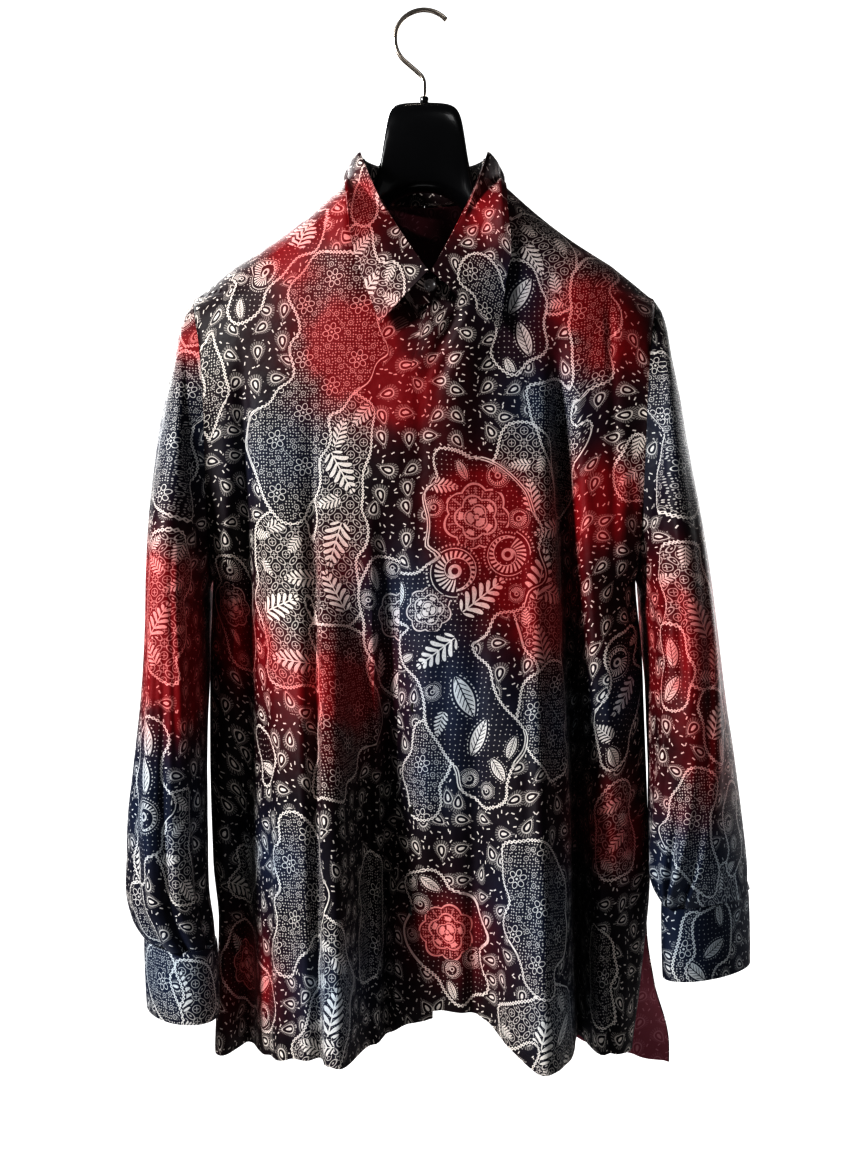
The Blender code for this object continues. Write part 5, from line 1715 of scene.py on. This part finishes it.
def sewn(sheet, thick=None, sources=None):
    """Make a piece of cloth from its grid, with its print; a thick one is double cloth.

    A source is a piece whose print is laid here, 1 or -1 to mirror it, and whether it is laid on
    the side towards the front.
    """
    sources = sources or [(sheet.name, 1, True), (sheet.name, 1, False)]
    edges, dye = print_fields(sheet, sources)
    spots = fill_motifs(sheet, edges, motif_places(sheet, sources))
    faces = cloth_faces(bpy.context.scene.batik_cloth)
    piece = shell(sheet, faces[0], faces[0 if thick else 1], edges, dye, spots, thick)
    stand_for(piece, sheet.name)


def cloth_faces(settings):
    """The right and the wrong side of the cloth."""
    found = [bpy.data.materials.get(name) for name in ("batik", "batik_wrong_side")]
    return found if all(found) else (batik(settings), wrong_face(settings))


def clear_selection():
    """Deselect everything."""
    if bpy.context.object and bpy.context.object.mode != "OBJECT":
        bpy.ops.object.mode_set(mode="OBJECT")
    for item in bpy.context.view_layer.objects:
        item.select_set(False)


def choose(item):
    """Make one object the only selected and the active one."""
    clear_selection()
    item.select_set(True)
    bpy.context.view_layer.objects.active = item


def take(node, name):
    """A copy of a CAD node with its doubled points merged, on its own."""
    source = frame["nodes"][node]
    copy = bpy.data.objects.new(name, source.data.copy())
    bpy.context.scene.collection.objects.link(copy)
    for key in list(copy.keys()):
        del copy[key]
    choose(copy)
    bpy.ops.object.mode_set(mode="EDIT")
    bpy.ops.mesh.select_all(action="SELECT")
    bpy.ops.mesh.remove_doubles(threshold=0.00002)
    flat, square = math.radians(30), math.radians(60)
    bpy.ops.mesh.tris_convert_to_quads(face_threshold=flat, shape_threshold=square)
    bpy.ops.object.mode_set(mode="OBJECT")
    return copy


def modify(piece, kind, **settings):
    """Put a modifier on a piece and apply it."""
    modifier = piece.modifiers.new("shaping", kind)
    for key, value in settings.items():
        setattr(modifier, key, value)
    bpy.ops.object.modifier_apply(modifier=modifier.name)


def finished(piece, material, crease):
    """Give a piece one material all over, and smooth shading up to a crease in degrees."""
    piece.data.materials.clear()
    piece.data.materials.append(material)
    piece.data.shade_smooth()
    if crease:
        piece.data.set_sharp_from_angle(angle=math.radians(crease))


class BATIK_OT_fronts(bpy.types.Operator):
    """Cut and hang the two fronts"""

    bl_idname = "batik.fronts"
    bl_label = "Fronts"

    def execute(self, context):
        for side, name, seams in ((1, "front_left", SEAM_LEFT), (-1, "front_right", SEAM_RIGHT)):
            rows = front_rows(side, seams, side > 0)
            normals = flipped(grid_normals(rows), Vector((0, -1, 0)))
            dress_normals(rows, normals, [len(rows[0]) - 1])
            sheet = Sheet(name, rows, normals, (ARCH_ROWS + CHEST_ROWS, 0), upright=True)
            sewn(sheet, sources=[(name, 1, True)])
        return {"FINISHED"}


class BATIK_OT_back(bpy.types.Operator):
    """Cut and hang the back"""

    bl_idname = "batik.back"
    bl_label = "Back"

    def execute(self, context):
        rows = back_rows()
        normals = flipped(grid_normals(rows), Vector((0, 1, 0)))
        dress_normals(rows, normals, [0, len(rows[0]) - 1])
        anchor = (ARCH_ROWS + CHEST_ROWS, len(rows[0]) // 2)
        sheet = Sheet("back", rows, normals, anchor, upright=True)
        sources = [("front_left", -1, False), ("front_right", -1, False)]
        sewn(sheet, sources=sources)
        return {"FINISHED"}


class BATIK_OT_sleeves(bpy.types.Operator):
    """Cut and hang the sleeves"""

    bl_idname = "batik.sleeves"
    bl_label = "Sleeves"

    def execute(self, context):
        left = sleeve_sheet("sleeve_left", 1, SEAM_LEFT, SLEEVE_LEFT, WRINKLES_LEFT)
        sewn(left)
        right = sleeve_sheet("sleeve_right", -1, SEAM_RIGHT, SLEEVE_RIGHT, WRINKLES_RIGHT)
        sewn(right)
        return {"FINISHED"}


class BATIK_OT_cuffs(bpy.types.Operator):
    """Cut the cuffs and lap their ends"""

    bl_idname = "batik.cuffs"
    bl_label = "Cuffs"

    def execute(self, context):
        for side, name, sleeve, cuff in (
            (1, "cuff_left", SLEEVE_LEFT, CUFF_LEFT),
            (-1, "cuff_right", SLEEVE_RIGHT, CUFF_RIGHT),
        ):
            sewn(cuff_sheet(name, side, sleeve[-1], cuff), thick=DOUBLE_WALL)
        return {"FINISHED"}


class BATIK_OT_collar(bpy.types.Operator):
    """Cut the collar's stand and the two halves of its leaf"""

    bl_idname = "batik.collar"
    bl_label = "Collar"

    def execute(self, context):
        for sheet, flat in (
            (stand_sheet(), (0.400, 0.028)),
            (leaf_sheet("collar_leaf_left", 1, LEAF_LEFT), (0.200, 0.064)),
            (leaf_sheet("collar_leaf_right", -1, LEAF_RIGHT), (0.200, 0.064)),
        ):
            sewn(sheet, thick=DOUBLE_WALL, sources=[(sheet.name, 1, True)])
        return {"FINISHED"}


class BATIK_OT_buttons(bpy.types.Operator):
    """Turn the buttons"""

    bl_idname = "batik.buttons"
    bl_label = "Buttons"

    def execute(self, context):
        material = button_face()
        for node in sorted(frame["nodes"]):
            if "button" not in node:
                continue
            piece = take(node, node + "_turned")
            points = piece.data.vertices
            centre = sum((point.co for point in points), Vector()) / len(points)
            self.dish(piece)
            if "fly" in node:
                off = small_folds(centre.x, centre.z)
                piece.data.transform(Matrix.Translation((0, off, 0)))
            finished(piece, material, BUTTON_CREASE)
            stand_for(piece, node)
        return {"FINISHED"}

    def dish(self, piece):
        """Sink a dish in the button's face, which is its largest flat."""
        faces = piece.data.polygons
        front = max(faces, key=lambda face: (round(face.area, 8), -face.normal.y)).normal.copy()
        bpy.ops.object.mode_set(mode="EDIT")
        bpy.ops.mesh.select_all(action="DESELECT")
        for face in bmesh.from_edit_mesh(piece.data).faces:
            face.select = face.normal.dot(front) > 0.98
        bmesh.update_edit_mesh(piece.data)
        bpy.ops.mesh.dissolve_faces()
        bpy.ops.mesh.inset(thickness=BUTTON_RIM, depth=0.0)
        bpy.ops.mesh.inset(thickness=BUTTON_DISH, depth=-BUTTON_DISH)
        bpy.ops.object.mode_set(mode="OBJECT")


class BATIK_OT_hanger(bpy.types.Operator):
    """Mould the hanger and smooth its hook"""

    bl_idname = "batik.hanger"
    bl_label = "Hanger"

    def execute(self, context):
        settings = context.scene.batik_hanger
        plastic = hanger_face(settings)
        body = take("hanger_body", "hanger_moulding")
        modify(body, "SUBSURF", levels=2, render_levels=2)
        finished(body, plastic, 0)
        nut = take("hanger_nut", "hanger_collar")
        modify(nut, "BEVEL", width=NUT_EDGE, segments=2, limit_method="ANGLE")
        finished(nut, plastic, NUT_CREASE)
        hook = take("hanger_hook", "hanger_wire")
        modify(hook, "SUBSURF", levels=1, render_levels=1)
        finished(hook, wire_face(settings), 0)
        stand_for(body, "hanger_body")
        stand_for(nut, "hanger_nut")
        stand_for(hook, "hanger_hook")
        return {"FINISHED"}


class BATIK_OT_stage(bpy.types.Operator):
    """Set the floor, the lights and the camera"""

    bl_idname = "batik.stage"
    bl_label = "Stage"

    def execute(self, context):
        settings = context.scene.batik_stage
        clear_selection()
        place = (0, 0, settings.floor_height)
        bpy.ops.mesh.primitive_circle_add(
            vertices=96, radius=FLOOR_RADIUS, fill_type="NGON", location=place
        )
        floor = bpy.context.object
        floor.name = "floor"
        bpy.ops.object.transform_apply(location=True, rotation=True, scale=True)
        floor.data.materials.append(floor_face(settings))
        middle = Vector((0, 0, settings.camera_height))
        for name, place, size, share in LIGHTS:
            bpy.ops.object.light_add(type="AREA", location=place)
            light = bpy.context.object
            light.name = name
            light.data.energy = settings.key_power * share
            light.data.size = size
            light.rotation_euler = (middle - Vector(place)).to_track_quat("-Z", "Y").to_euler()
        place = (CAMERA_X, -settings.camera_distance, settings.camera_height)
        bpy.ops.object.camera_add(location=place)
        camera = bpy.context.object
        camera.rotation_euler = (math.pi / 2, 0, 0)
        camera.data.sensor_fit = "VERTICAL"
        camera.data.sensor_height = SENSOR
        camera.data.lens = SENSOR * settings.camera_distance / settings.view_height
        context.scene.camera = camera
        self.surroundings(context.scene)
        return {"FINISHED"}

    def surroundings(self, scene):
        """White all round to the eye, and dim as a light."""
        world = bpy.data.worlds.new("surroundings")
        world.use_nodes = True
        nodes, links = world.node_tree.nodes, world.node_tree.links
        nodes.clear()
        chosen = nodes.new("ShaderNodeMixShader")
        path = nodes.new("ShaderNodeLightPath")
        links.new(path.outputs["Is Camera Ray"], chosen.inputs["Fac"])
        for slot, (colour, strength) in enumerate((SKY_LIGHT, SKY_SEEN), 1):
            sky = nodes.new("ShaderNodeBackground")
            sky.inputs["Color"].default_value = opaque(colour)
            sky.inputs["Strength"].default_value = strength
            links.new(sky.outputs[0], chosen.inputs[slot])
        out = nodes.new("ShaderNodeOutputWorld")
        links.new(chosen.outputs[0], out.inputs["Surface"])
        scene.world = world
        scene.view_settings.view_transform = "Standard"
        scene.view_settings.look = "High Contrast"


class BATIK_PT_panel(bpy.types.Panel):
    """The shirt's pieces and their settings"""

    bl_idname = "BATIK_PT_panel"
    bl_label = "Batik Shirt"
    bl_space_type = "VIEW_3D"
    bl_region_type = "UI"
    bl_category = "Batik Shirt"

    def draw(self, context):
        for step in STEPS:
            self.layout.operator(step.bl_idname)
        for name in GROUPS:
            group = getattr(context.scene, name)
            box = self.layout.box()
            for key in group.__annotations__:
                box.prop(group, key)


STEPS = (
    BATIK_OT_stage,
    BATIK_OT_hanger,
    BATIK_OT_back,
    BATIK_OT_fronts,
    BATIK_OT_sleeves,
    BATIK_OT_cuffs,
    BATIK_OT_collar,
    BATIK_OT_buttons,
)
GROUPS = {"batik_cloth": BatikCloth, "batik_hanger": BatikHanger, "batik_stage": BatikStage}


def register():
    """Register the classes and hang the settings on the scene."""
    for group in GROUPS.values():
        bpy.utils.register_class(group)
    for step in STEPS:
        bpy.utils.register_class(step)
    bpy.utils.register_class(BATIK_PT_panel)
    for name, group in GROUPS.items():
        setattr(bpy.types.Scene, name, bpy.props.PointerProperty(type=group))


def unregister():
    """Undo register."""
    for name in GROUPS:
        delattr(bpy.types.Scene, name)
    bpy.utils.unregister_class(BATIK_PT_panel)
    for step in reversed(STEPS):
        bpy.utils.unregister_class(step)
    for group in reversed(list(GROUPS.values())):
        bpy.utils.unregister_class(group)


def main():
    """Register, and make every piece in order."""
    register()
    bpy.ops.batik.stage()
    bpy.ops.batik.hanger()
    bpy.ops.batik.back()
    bpy.ops.batik.fronts()
    bpy.ops.batik.sleeves()
    bpy.ops.batik.cuffs()
    bpy.ops.batik.collar()
    bpy.ops.batik.buttons()


if __name__ == "__main__":
    main()
